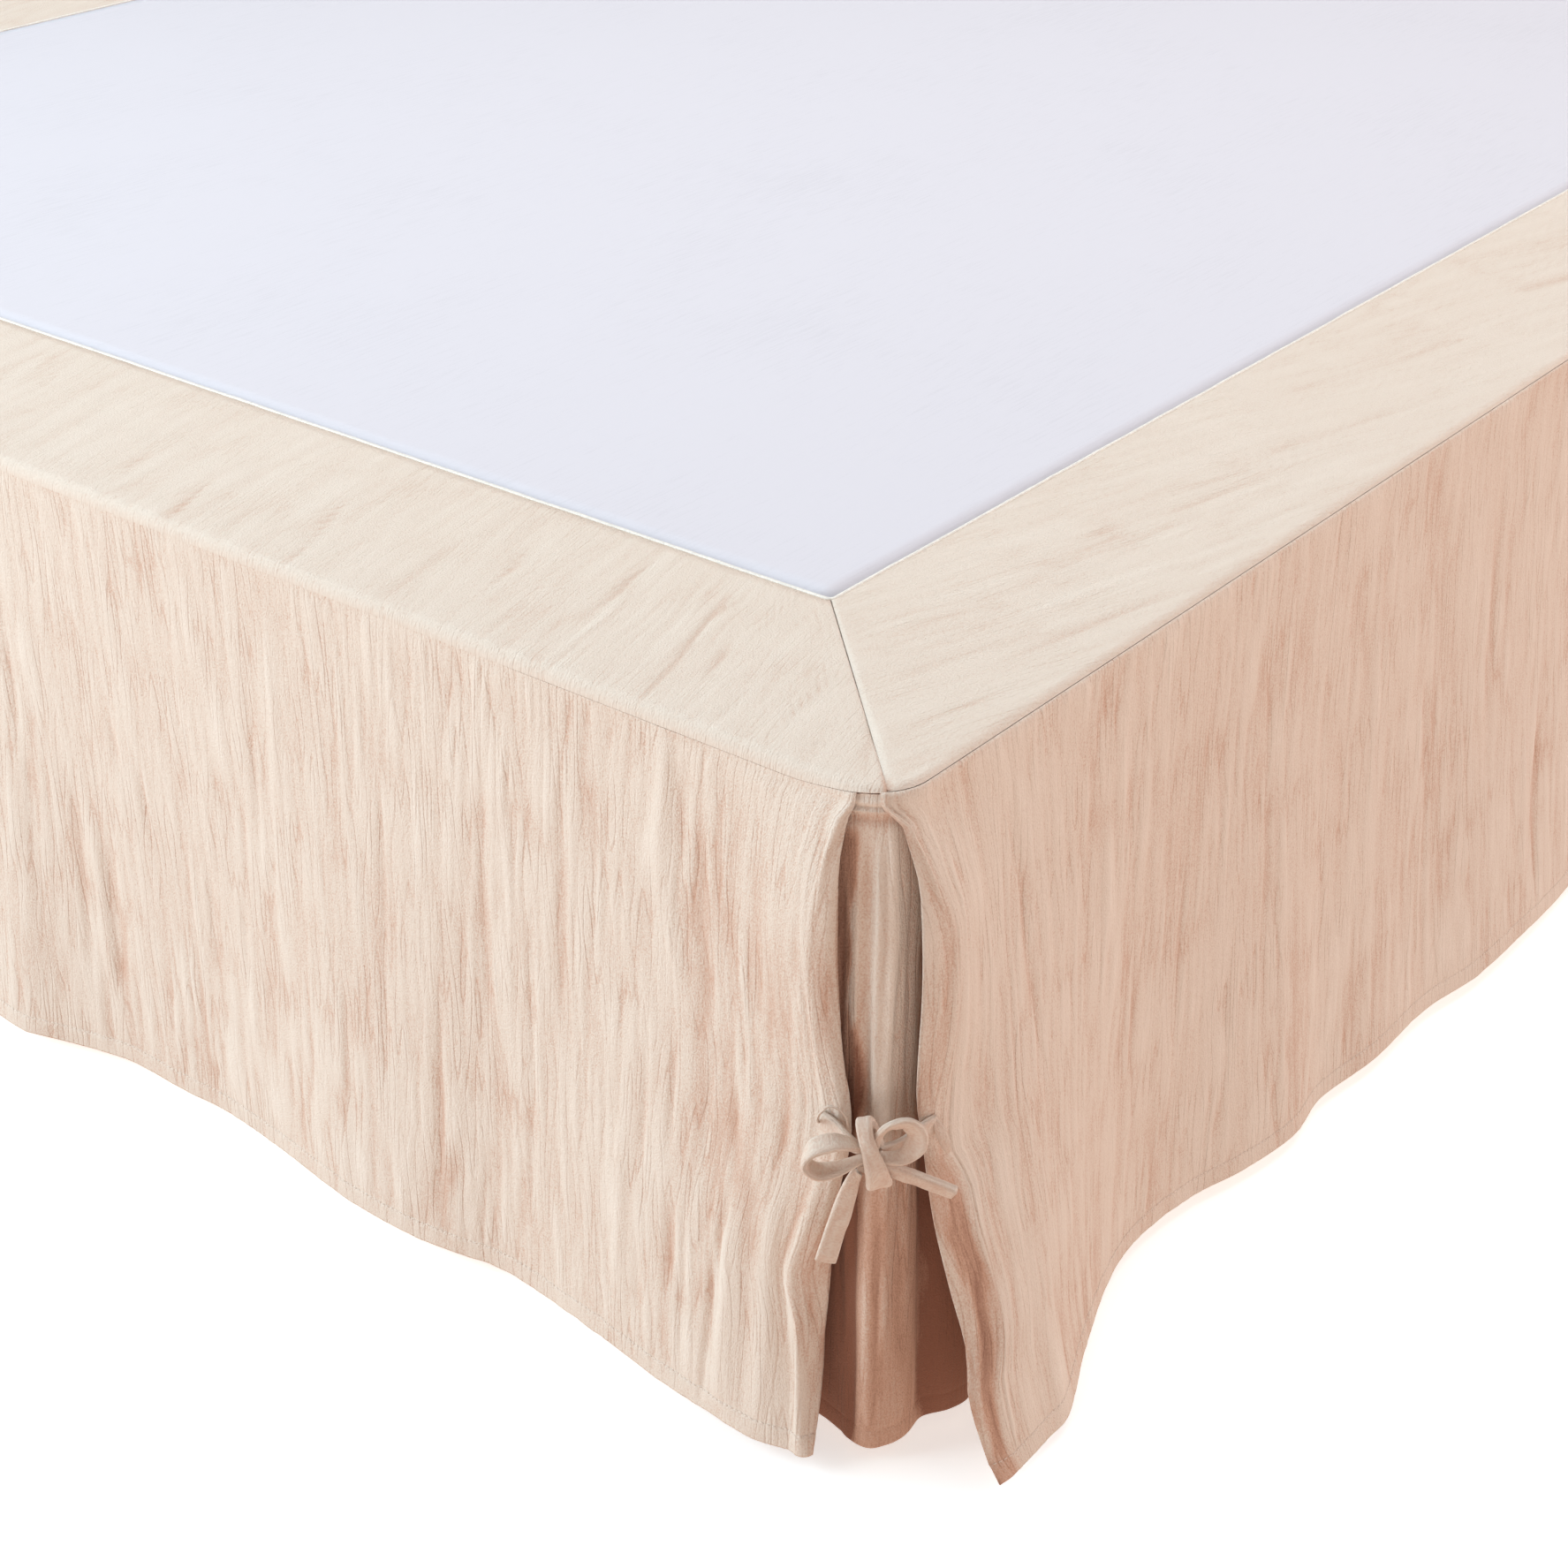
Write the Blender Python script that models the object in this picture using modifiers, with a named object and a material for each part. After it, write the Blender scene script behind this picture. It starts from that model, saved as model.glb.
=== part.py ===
"""Bed skirt of crinkled double gauze, fitted on a plain box spring with legs.

The skirt has a flat platform cloth, three mitred border bands on top, three panels that hang
from the bands, an insert behind the open split at each foot corner, and a pair of ties knotted
in a bow across each split. The head end is open.

Frame: X across the bed, -Y the foot, +Y the head, +Z up. The origin is on the floor, under the
middle of the whole object. Lengths are metres, and the tables are in millimetres.
"""
import math
from collections import namedtuple

import bmesh
import bpy
from mathutils import Matrix, Vector

MM = 0.001

# The bed and the skirt
BED_WIDTH = 1.600
BED_LENGTH = 2.000
TOP_Z = 0.410
DROP = 0.400
BAND_WIDTH = 0.150
CLOTH = 0.0015
PLATFORM_CLOTH = 0.0010
GAP = 0.0003
SEAM_GAP = 0.00045
BASE_INSET = 0.0060
CORNER_RADIUS = 0.030
EDGE_RADIUS = 0.007
FOOT_FLARE = 0.026

# The box spring and its legs
LEG_HEIGHT = 0.250
LEG_RADIUS = 0.028
LEG_INSET_X = 0.130
LEG_PLACES_Y = (-0.850, 0.015, 0.880)
BASE_CORNER = CORNER_RADIUS - BASE_INSET
BASE_TOP_ROUND = 0.006

# The outer faces of the skirt, at its top edge
FACE_X = BED_WIDTH / 2 + BASE_INSET
FACE_FOOT = -(BED_LENGTH + BASE_INSET - FOOT_FLARE) / 2
HEAD_Y = FACE_FOOT + BASE_INSET + BED_LENGTH

# The split: where each panel's edge starts on the corner's arc, measured from its middle
FOOT_EDGE_START = 14.7 * MM
SIDE_EDGE_START = -3.4 * MM
TURNED_TOP_WIDTH = 2.0 * MM
PULL_REACH = 0.070
BULGE_REACH = 0.045
FLARE_POWER = 1.5

# Each row is one depth below the top: the panel's free edge and the ridge where it turns in,
# as distances along the panel from the corner and out from the face.
SplitRow = namedtuple("SplitRow", "depth edge_along edge_out ridge_along ridge_out")
FOOT_SPLIT = [
    SplitRow(20, 25.0, 0.5, 28.0, 4.0),
    SplitRow(41, 26.3, 4.0, 32.0, 9.0),
    SplitRow(65, 26.5, 4.0, 36.0, 11.0),
    SplitRow(90, 26.7, 4.0, 38.3, 12.0),
    SplitRow(114, 25.4, 4.0, 37.2, 12.0),
    SplitRow(149, 22.2, 4.0, 32.5, 11.0),
    SplitRow(172, 17.5, 4.0, 29.0, 9.5),
    SplitRow(195, 17.0, 4.0, 29.0, 9.0),
    SplitRow(225, 23.0, 4.0, 33.5, 10.0),
    SplitRow(260, 28.0, 3.0, 42.0, 13.0),
    SplitRow(290, 31.0, 1.0, 48.0, 15.0),
    SplitRow(320, 34.0, 0.0, 42.0, 15.0),
    SplitRow(360, 35.5, 1.0, 41.0, 15.5),
    SplitRow(400, 31.5, 14.0, 37.0, 20.0),
]
SIDE_SPLIT = [
    SplitRow(22, 13.0, -2.0, 15.5, 0.0),
    SplitRow(49, 17.0, 4.0, 24.0, 9.0),
    SplitRow(77, 16.5, 7.0, 33.0, 14.0),
    SplitRow(112, 17.0, 8.0, 35.5, 16.0),
    SplitRow(143, 15.5, 8.0, 35.5, 15.0),
    SplitRow(172, 16.0, 8.0, 33.0, 13.5),
    SplitRow(205, 19.0, 11.0, 32.0, 15.0),
    SplitRow(226, 18.5, 15.0, 39.0, 22.0),
    SplitRow(249, 18.3, 20.0, 38.0, 30.0),
    SplitRow(282, 21.0, 27.5, 43.5, 38.0),
    SplitRow(320, 25.5, 36.0, 43.0, 47.0),
    SplitRow(340, 19.0, 42.5, 37.0, 50.0),
    SplitRow(381, 25.7, 50.0, 42.0, 56.0),
    SplitRow(400, 29.0, 58.0, 48.0, 59.0),
]

# How far the hem stands out from the face, along each panel from the corner
HemRow = namedtuple("HemRow", "along out")
FOOT_HEM = [
    HemRow(32, 19.5), HemRow(56, 25), HemRow(94, 23), HemRow(134, 20), HemRow(177, 15),
    HemRow(223, 9), HemRow(266, 7), HemRow(302, 14), HemRow(342, 17.5), HemRow(387, 17),
    HemRow(444, 8), HemRow(498, 3), HemRow(546, 4), HemRow(595, 6), HemRow(637, 15),
    HemRow(677, 26), HemRow(740, 21), HemRow(805, 16),
]
SIDE_HEM = [
    HemRow(27, 58.5), HemRow(55, 58), HemRow(82, 57), HemRow(143, 34), HemRow(202, 14),
    HemRow(240, 8), HemRow(294, 11.5), HemRow(337, 22.5), HemRow(389, 30), HemRow(433, 24),
    HemRow(491, 31), HemRow(565, 31), HemRow(624, 40), HemRow(705, 41), HemRow(790, 37),
    HemRow(880, 25), HemRow(975, 18), HemRow(1070, 27), HemRow(1165, 34), HemRow(1270, 24),
    HemRow(1380, 14), HemRow(1490, 20), HemRow(1600, 28), HemRow(1720, 19), HemRow(1850, 12),
    HemRow(2010, 9),
]

# The insert's folds across the corner: distance round the corner from its middle, towards the
# side panel, and how far out it lies from the panels' top line at mid height and at the hem
InsertRow = namedtuple("InsertRow", "round_corner out_mid out_hem")
INSERT_FOLDS = [
    InsertRow(-110, -2.1, -5.0), InsertRow(-80, -2.4, -8.0), InsertRow(-43, -3.0, -12.0),
    InsertRow(-24, -3.6, -9.0), InsertRow(-15, -0.6, -5.0), InsertRow(-9, -2.6, -3.0),
    InsertRow(-2, 1.6, -0.6), InsertRow(6, 0.2, -1.2), InsertRow(14, -2.0, -1.5),
    InsertRow(25, -2.6, -2.0), InsertRow(38, -2.6, -3.0), InsertRow(52, -2.2, 5.0),
    InsertRow(64, -2.0, 8.0), InsertRow(85, -2.1, 4.0), InsertRow(110, -2.1, 0.0),
]
INSERT_TOP_OUT = -2.1
INSERT_RISE = -0.0003

# Columns and rows of the cloth grids
NEAR_COLUMNS = (8, 18, 30, 45, 63, 84, 108, 136)
PANEL_DEPTHS = (10, 26, 49, 80, 115, 150, 185, 215, 250, 290, 335, 370, 400)
INSERT_DEPTHS = (26, 55, 90, 135, 180, 225, 275, 330, 400)
INSERT_STEP = 0.010
WAVE_STEP = 0.046
PLAIN_STEP = 0.075
PLAIN_START = 0.740
STRIP_COLUMNS = 3
BAND_FAN_END = 0.260
BAND_ARC_STEPS = 5
MITRE_GAP = 0.0005
MITRE_START = 0.00035

# The bow, in the split's own directions: across (towards the side panel), out (away from the
# corner) and depth below the top. Each ribbon's width lies along its width direction.
BowRow = namedtuple("BowRow", "across out depth width width_across width_out width_up")
KNOT_CENTRE = (-5.5, 8.0, 191.0)
KNOT_SIZE = (20.0, 18.0, 43.0)
CORE_CENTRE = (-9.5, 8.0, 192.0)
CORE_SIZE = (6.0, 9.0, 25.0)
POCKET_CENTRE = (-15.0, 8.2, 192.0)
POCKET_SIZE = (18.0, 11.2, 27.0)
TIE_THICKNESS = 2.2
TIE_STEPS = 2
FOOT_TIE_SEWN = [
    BowRow(-29.0, -12.6, 183, 11, 0.0, 0.0, 1.0), BowRow(-23.5, -6.0, 184, 11, 0.0, 0.0, 1.0),
    BowRow(-18.5, 1.0, 186, 9, 0.0, 0.0, 1.0), BowRow(-14.0, 4.8, 188, 7, 0.0, 0.0, 1.0),
    BowRow(-9.0, 5.2, 189, 6, 0.0, 0.0, 1.0),
]
FOOT_TIE_LOOP = [
    BowRow(-9.0, 9.5, 185, 6, 0.0, 1.0, 0.1), BowRow(-15.0, 10.2, 183, 6, 0.0, 0.9, 0.3),
    BowRow(-26.0, 14.0, 177, 11, 0.0, 0.8, 0.6), BowRow(-37.0, 13.5, 181, 11, 0.0, 0.8, 0.6),
    BowRow(-41.0, 13.0, 191, 11, 0.0, 0.8, 0.6), BowRow(-35.0, 12.5, 201, 11, 0.0, 0.8, 0.6),
    BowRow(-25.0, 12.0, 200, 9, 0.0, 0.8, 0.6), BowRow(-15.0, 10.2, 194, 6, 0.0, 0.9, 0.3),
    BowRow(-9.0, 9.5, 192, 6, 0.0, 1.0, 0.1),
]
FOOT_TIE_TAIL = [
    BowRow(-9.0, 7.5, 198, 5, 0.5, 0.0, 0.8), BowRow(-14.5, 8.2, 201, 6, 0.7, 0.0, 0.6),
    BowRow(-20.0, 9.0, 217, 10, 0.94, 0.0, 0.33), BowRow(-29.5, 9.0, 253, 11, 0.94, 0.0, 0.33),
]
SIDE_TIE_SEWN = [
    BowRow(26.5, -7.4, 186, 11, 0.0, 0.0, 1.0), BowRow(20.0, -3.5, 187, 11, 0.0, 0.0, 1.0),
    BowRow(12.0, 1.0, 189, 9, 0.0, 0.0, 1.0), BowRow(5.0, 4.0, 190, 7, 0.0, 0.0, 1.0),
    BowRow(-2.5, 5.0, 191, 6, 0.0, 0.0, 1.0),
]
SIDE_TIE_LOOP = [
    BowRow(-2.5, 10.0, 182, 6, 0.0, 1.0, 0.1), BowRow(2.0, 13.0, 172, 9, 0.0, 1.0, 0.2),
    BowRow(11.0, 15.5, 164, 11, 0.0, 1.0, 0.2), BowRow(21.0, 15.0, 168, 11, 0.0, 1.0, 0.2),
    BowRow(23.0, 14.5, 179, 11, 0.0, 1.0, 0.2), BowRow(15.0, 13.5, 191, 10, 0.0, 1.0, 0.2),
    BowRow(5.0, 12.0, 195, 8, 0.0, 1.0, 0.1), BowRow(-2.5, 10.0, 194, 6, 0.0, 1.0, 0.1),
]
SIDE_TIE_TAIL = [
    BowRow(-2.0, 8.0, 202, 6, 0.35, 0.0, 0.93), BowRow(10.0, 10.0, 205, 9, 0.35, 0.0, 0.93),
    BowRow(22.0, 12.0, 209, 11, 0.35, 0.0, 0.93), BowRow(36.0, 13.0, 214, 11, 0.35, 0.0, 0.93),
]

GAUZE_PINK = (0.74, 0.52, 0.42)
PLATFORM_WHITE = (0.86, 0.87, 0.93)
TICKING_WHITE = (0.80, 0.78, 0.74)
LEG_WOOD = (0.55, 0.38, 0.22)


def clear_scene():
    for obj in list(bpy.data.objects):
        bpy.data.objects.remove(obj, do_unlink=True)


def new_collection(name):
    collection = bpy.data.collections.new(name)
    bpy.context.scene.collection.children.link(collection)
    return collection


def make_material(name, colour, roughness):
    material = bpy.data.materials.new(name)
    material.use_nodes = True
    shader = material.node_tree.nodes["Principled BSDF"]
    shader.inputs["Base Color"].default_value = (*colour, 1.0)
    shader.inputs["Roughness"].default_value = roughness
    shader.inputs["Metallic"].default_value = 0.0
    material.diffuse_color = (*colour, 1.0)
    return material


def add_object(collection, name, mesh, material):
    obj = bpy.data.objects.new(name, mesh)
    obj.data.materials.append(material)
    collection.objects.link(obj)
    return obj


def smooth_value(rows, key, column, at):
    """The value of a table's column at a place between its rows, on a smooth curve."""
    keys = [getattr(row, key) for row in rows]
    values = [getattr(row, column) for row in rows]
    if at <= keys[0]:
        return values[0]
    if at >= keys[-1]:
        return values[-1]
    upper = next(i for i, k in enumerate(keys) if k > at)
    lower = upper - 1
    span = keys[upper] - keys[lower]
    slopes = []
    for i in (lower, upper):
        before = max(i - 1, 0)
        after = min(i + 1, len(keys) - 1)
        slopes.append((values[after] - values[before]) / (keys[after] - keys[before]))
    f = (at - keys[lower]) / span
    start = values[lower] * (1 + 2 * f) * (1 - f) ** 2 + slopes[0] * span * f * (1 - f) ** 2
    end = values[upper] * f * f * (3 - 2 * f) + slopes[1] * span * f * f * (f - 1)
    return start + end


def smooth_step(low, high, value):
    f = min(max((value - low) / (high - low), 0.0), 1.0)
    return f * f * (3 - 2 * f)


def corner_line(distance):
    """The top edge's outline round a corner, at a distance from the middle of its arc.

    Returns the point as (along, out) of the panel that the distance runs towards, and the
    outward normal.
    """
    half_arc = CORNER_RADIUS * math.pi / 4
    if distance > half_arc:
        return Vector((CORNER_RADIUS + distance - half_arc, 0.0)), Vector((0.0, 1.0))
    if distance < -half_arc:
        return Vector((0.0, -CORNER_RADIUS + distance + half_arc)), Vector((-1.0, 0.0))
    turn = math.pi / 4 + distance / CORNER_RADIUS
    normal = Vector((-math.cos(turn), math.sin(turn)))
    return Vector((CORNER_RADIUS, -CORNER_RADIUS)) + normal * CORNER_RADIUS, normal


def seam_turn(side, along):
    """The angle round the top edge at which the band's seam lies, 90 degrees being its end."""
    if side == "foot":
        return math.radians(90)
    return math.radians(90 - 42 * smooth_step(0.030, 0.130, along))


def edge_profile(length):
    """Offset out and depth at a length down the rounded top edge, from the flat top."""
    turn = min(length / EDGE_RADIUS, math.pi / 2)
    straight = max(length - EDGE_RADIUS * math.pi / 2, 0.0)
    out = -EDGE_RADIUS * (1 - math.sin(turn))
    return out, EDGE_RADIUS * (1 - math.cos(turn)) + straight


def to_world(side, along, out, depth):
    """A point beside the right foot corner, from its distances on the foot or side face."""
    if side == "foot":
        return Vector((FACE_X - along, FACE_FOOT - out, TOP_Z - depth))
    return Vector((FACE_X + out, FACE_FOOT + along, TOP_Z - depth))


def panel_start(side):
    """Where a panel's ridge starts round the corner, at the top."""
    start = FOOT_EDGE_START if side == "foot" else SIDE_EDGE_START
    return start + TURNED_TOP_WIDTH


def panel_point(side, strip, beyond, depth):
    """A point of a hanging panel's outer surface.

    strip runs from 0 at the free edge to 1 at the ridge where the panel turns, and beyond is
    the distance from that ridge, measured at the top.
    """
    split = FOOT_SPLIT if side == "foot" else SIDE_SPLIT
    hem = FOOT_HEM if side == "foot" else SIDE_HEM
    start = FOOT_EDGE_START if side == "foot" else SIDE_EDGE_START
    top, normal = corner_line(start + strip * TURNED_TOP_WIDTH + beyond)
    open_share = smooth_step(EDGE_RADIUS, split[0].depth * MM, depth)
    depth_mm = max(depth / MM, split[0].depth)
    edge_top, _ = corner_line(start)
    ridge_top, _ = corner_line(start + TURNED_TOP_WIDTH)
    columns = ("edge_along", "edge_out", "ridge_along", "ridge_out")
    place = [smooth_value(split, "depth", column, depth_mm) * MM for column in columns]
    edge_move = Vector(place[:2]) - edge_top
    ridge_move = Vector(place[2:]) - ridge_top
    flare = max(depth - EDGE_RADIUS, 0.0) / (DROP - EDGE_RADIUS)
    flare = flare ** FLARE_POWER
    if beyond <= 0.0:
        return top + (edge_move.lerp(ridge_move, strip)) * open_share, normal
    wave = smooth_value(hem, "along", "out", top.x / MM) * MM * flare
    ridge_wave = smooth_value(hem, "along", "out", place[2] / MM) * MM * flare
    pull = math.exp(-beyond / PULL_REACH)
    bulge = math.exp(-((beyond / BULGE_REACH) ** 2))
    along = top.x + ridge_move.x * pull * open_share
    ridge_out = top.y + (place[3] - top.y) * open_share
    out = (top.y + wave) * (1 - bulge) + bulge * (ridge_out + wave - ridge_wave)
    return Vector((along, out)), normal


def panel_surface(side, strip, beyond, level):
    """The panel's point in the bed's frame, at one of its levels.

    A level of 0 or less is on the rounded top edge: -1 is the seam under the band and 0 the
    end of the rounding. Above 0 it is the depth below the top.
    """
    top, _ = corner_line(panel_start(side) + beyond)
    quarter_turn = EDGE_RADIUS * math.pi / 2
    seam = EDGE_RADIUS * seam_turn(side, top.x) + SEAM_GAP
    if level > 0.0:
        length = quarter_turn + level - EDGE_RADIUS
    else:
        length = seam + (quarter_turn - seam) * (1 + level)
    out, real_depth = edge_profile(length)
    point, normal = panel_point(side, strip, beyond, real_depth)
    point += normal * out
    return to_world(side, point.x, point.y, real_depth)


def panel_columns(far_end):
    """(strip, beyond) of each column: the turned strip, then ever wider steps to far_end."""
    columns = [(i / STRIP_COLUMNS, 0.0) for i in range(STRIP_COLUMNS + 1)]
    columns += [(1.0, d * MM) for d in NEAR_COLUMNS]
    while columns[-1][1] < far_end:
        here = columns[-1][1]
        step = WAVE_STEP if here < PLAIN_START else PLAIN_STEP
        if far_end - here < 1.5 * step:
            step = far_end - here
        columns.append((1.0, here + step))
    return columns


def grid_mesh(name, points, outward):
    """A sheet through rows of points, made by moving the points of a flat grid."""
    columns = len(points[0])
    bm = bmesh.new()
    bmesh.ops.create_grid(bm, x_segments=columns - 1, y_segments=len(points) - 1, size=1.0)
    bm.verts.ensure_lookup_table()
    for i, row in enumerate(points):
        for j, point in enumerate(row):
            bm.verts[i * columns + j].co = point
    bm.normal_update()
    bm.faces.ensure_lookup_table()
    if bm.faces[len(bm.faces) // 2].normal.dot(outward) < 0.0:
        bmesh.ops.reverse_faces(bm, faces=bm.faces[:])
    mesh = bpy.data.meshes.new(name)
    bm.to_mesh(mesh)
    bm.free()
    mesh.shade_smooth()
    return mesh


def thicken(obj, thickness, offset=-1.0):
    solidify = obj.modifiers.new("cloth thickness", "SOLIDIFY")
    solidify.thickness = thickness
    solidify.offset = offset


def mirror_across_bed(obj):
    mirror = obj.modifiers.new("other half", "MIRROR")
    mirror.use_axis = (True, False, False)
    mirror.merge_threshold = 0.0001


def left_copy(collection, obj, name):
    """The same piece on the bed's left side, as a mesh of its own."""
    graph = bpy.context.evaluated_depsgraph_get()
    mesh = bpy.data.meshes.new_from_object(obj.evaluated_get(graph), depsgraph=graph)
    mesh.name = name
    mesh.transform(Matrix.Scale(-1, 4, Vector((1, 0, 0))))
    mesh.flip_normals()
    copy = bpy.data.objects.new(name, mesh)
    collection.objects.link(copy)
    return copy


def far_end(side):
    """How far a panel's grid runs beyond its ridge: to the bed's middle, or to its head."""
    reach = FACE_X if side == "foot" else HEAD_Y - FACE_FOOT
    return reach - CORNER_RADIUS + CORNER_RADIUS * math.pi / 4 - panel_start(side)


def make_panel(collection, name, side, material):
    top_levels = (-1.0,) if side == "foot" else (-1.0, -0.7, -0.35)
    levels = [*top_levels, *(depth * MM for depth in PANEL_DEPTHS)]
    columns = panel_columns(far_end(side))
    points = [[panel_surface(side, *column, level) for column in columns] for level in levels]
    outward = Vector((0, -1, 0)) if side == "foot" else Vector((1, 0, 0))
    panel = add_object(collection, name, grid_mesh(name, points, outward), material)
    if side == "foot":
        mirror_across_bed(panel)
    thicken(panel, CLOTH)
    return panel


def band_points(side, round_corner, inner_along):
    """A line of points across the border band, from its inner seam to the top edge's seam."""
    edge, normal = corner_line(round_corner)
    start = edge - normal * EDGE_RADIUS
    points = [to_world(side, inner_along, -BAND_WIDTH, 0.0)]
    points.append(to_world(side, (inner_along + start.x) / 2, (start.y - BAND_WIDTH) / 2, 0.0))
    for step in range(BAND_ARC_STEPS + 1):
        length = EDGE_RADIUS * seam_turn(side, edge.x) * step / BAND_ARC_STEPS
        out, depth = edge_profile(length)
        place = edge + normal * out
        points.append(to_world(side, place.x, place.y, depth))
    return points


def make_band(collection, name, side, material):
    reach = FACE_X if side == "foot" else HEAD_Y - FACE_FOOT
    fan_length = BAND_FAN_END - CORNER_RADIUS + CORNER_RADIUS * math.pi / 4
    inner_start = BAND_WIDTH + MITRE_GAP
    lines = []
    near = [panel_start(side) + column * MM for column in NEAR_COLUMNS]
    first = [MITRE_START] if side == "side" else [MITRE_START, panel_start(side) / 2]
    for distance in first + near + [fan_length]:
        share = (distance - MITRE_START) / (fan_length - MITRE_START)
        inner = inner_start + (BAND_FAN_END - inner_start) * share
        lines.append(band_points(side, distance, inner))
    straight = fan_length + reach - BAND_FAN_END
    lines.append(band_points(side, straight, reach))
    band = add_object(collection, name, grid_mesh(name, lines, Vector((0, 0, 1))), material)
    if side == "foot":
        mirror_across_bed(band)
    thicken(band, CLOTH)
    return band


def insert_out(round_corner, depth):
    """How far the insert lies out from the panels' top line, from its three levels of folds."""
    place = round_corner / MM
    mid = smooth_value(INSERT_FOLDS, "round_corner", "out_mid", place)
    hem = smooth_value(INSERT_FOLDS, "round_corner", "out_hem", place)
    upper = smooth_step(0.012, 0.080, depth)
    lower = smooth_step(0.150, DROP, depth)
    hung = INSERT_TOP_OUT + (mid - INSERT_TOP_OUT) * upper
    return (hung + (hem - hung) * lower) * MM


def make_insert(collection, name, material):
    half = INSERT_FOLDS[-1].round_corner * MM
    steps = round(2 * half / INSERT_STEP)
    points = []
    for depth in [EDGE_RADIUS - INSERT_RISE] + [depth * MM for depth in INSERT_DEPTHS]:
        row = []
        for step in range(steps + 1):
            distance = -half + 2 * half * step / steps
            edge, normal = corner_line(distance)
            place = edge + normal * insert_out(distance, depth)
            row.append(to_world("side", place.x, place.y, depth))
        points.append(row)
    mesh = grid_mesh(name, points, Vector((1, -1, 0)))
    insert = add_object(collection, name, mesh, material)
    thicken(insert, CLOTH)
    return insert


def bow_direction(across, out, up):
    half_turn = math.sqrt(0.5)
    return Vector(((out + across) * half_turn, (across - out) * half_turn, up))


def bow_place(across, out, depth):
    corner = Vector((FACE_X, FACE_FOOT, TOP_Z))
    return corner + bow_direction(across * MM, out * MM, -depth * MM)


def smooth_route(rows):
    """Places, width directions and widths along a ribbon, on a curve through its rows."""
    Key = namedtuple("Key", "at x y z width_x width_y width_z width")
    keys = []
    for i, row in enumerate(rows):
        place = bow_place(row.across, row.out, row.depth)
        side = bow_direction(row.width_across, row.width_out, row.width_up)
        keys.append(Key(i, *place, *side, row.width * MM))
    samples = []
    for step in range((len(rows) - 1) * TIE_STEPS + 1):
        at = step / TIE_STEPS
        place = Vector([smooth_value(keys, "at", axis, at) for axis in ("x", "y", "z")])
        width_axes = ("width_x", "width_y", "width_z")
        side = Vector([smooth_value(keys, "at", axis, at) for axis in width_axes])
        samples.append((place, side, smooth_value(keys, "at", "width", at)))
    return samples


def make_ribbon(collection, name, rows, material):
    """A flat strip of cloth along a route, its edges square to the way it runs."""
    samples = smooth_route(rows)
    left_edge = []
    right_edge = []
    for i, (place, side, width) in enumerate(samples):
        ahead = samples[min(i + 1, len(samples) - 1)][0]
        behind = samples[max(i - 1, 0)][0]
        run = (ahead - behind).normalized()
        across = (side - run * side.dot(run)).normalized() * (width / 2)
        left_edge.append(place - across)
        right_edge.append(place + across)
    mesh = grid_mesh(name, [left_edge, right_edge], Vector((0, 0, 1)))
    ribbon = add_object(collection, name, mesh, material)
    thicken(ribbon, TIE_THICKNESS * MM, 0.0)
    ribbon.hide_render = True
    ribbon.display_type = "WIRE"
    return ribbon


def make_block(collection, name, centre, size, material):
    """A block turned square to the split."""
    bm = bmesh.new()
    bmesh.ops.create_cube(bm, size=1.0)
    bmesh.ops.scale(bm, verts=bm.verts[:], vec=Vector(size) * MM)
    bmesh.ops.rotate(bm, verts=bm.verts[:], matrix=Matrix.Rotation(math.pi / 4, 3, "Z"))
    bmesh.ops.translate(bm, verts=bm.verts[:], vec=bow_place(*centre))
    mesh = bpy.data.meshes.new(name)
    bm.to_mesh(mesh)
    bm.free()
    return add_object(collection, name, mesh, material)


def soften(obj):
    obj.data.shade_smooth()
    rounding = obj.modifiers.new("soft shape", "SUBSURF")
    rounding.levels = 2
    rounding.render_levels = 2


def combine(obj, operation, others):
    for other in others:
        boolean = obj.modifiers.new(operation.lower() + " " + other.name, "BOOLEAN")
        boolean.operation = operation
        boolean.solver = "EXACT"
        boolean.object = other


def make_ties(collection, guides, material):
    """The two ties at the right foot corner: the side tie's knot wraps the foot tie's core."""
    foot_routes = {"sewn": FOOT_TIE_SEWN, "loop": FOOT_TIE_LOOP, "tail": FOOT_TIE_TAIL}
    side_routes = {"sewn": SIDE_TIE_SEWN, "loop": SIDE_TIE_LOOP, "tail": SIDE_TIE_TAIL}
    foot_tie = make_block(collection, "tie_foot_right", CORE_CENTRE, CORE_SIZE, material)
    pieces = [make_ribbon(guides, "foot " + key, rows, material)
              for key, rows in foot_routes.items()]
    combine(foot_tie, "UNION", pieces)

    side_tie = make_block(collection, "tie_side_right", KNOT_CENTRE, KNOT_SIZE, material)
    soften(side_tie)
    pieces = [make_ribbon(guides, "side " + key, rows, material)
              for key, rows in side_routes.items()]
    combine(side_tie, "UNION", pieces)
    pocket = make_block(guides, "pocket", POCKET_CENTRE, POCKET_SIZE, material)
    pocket.hide_render = True
    pocket.display_type = "WIRE"
    combine(side_tie, "DIFFERENCE", [pocket])
    return foot_tie, side_tie


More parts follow.
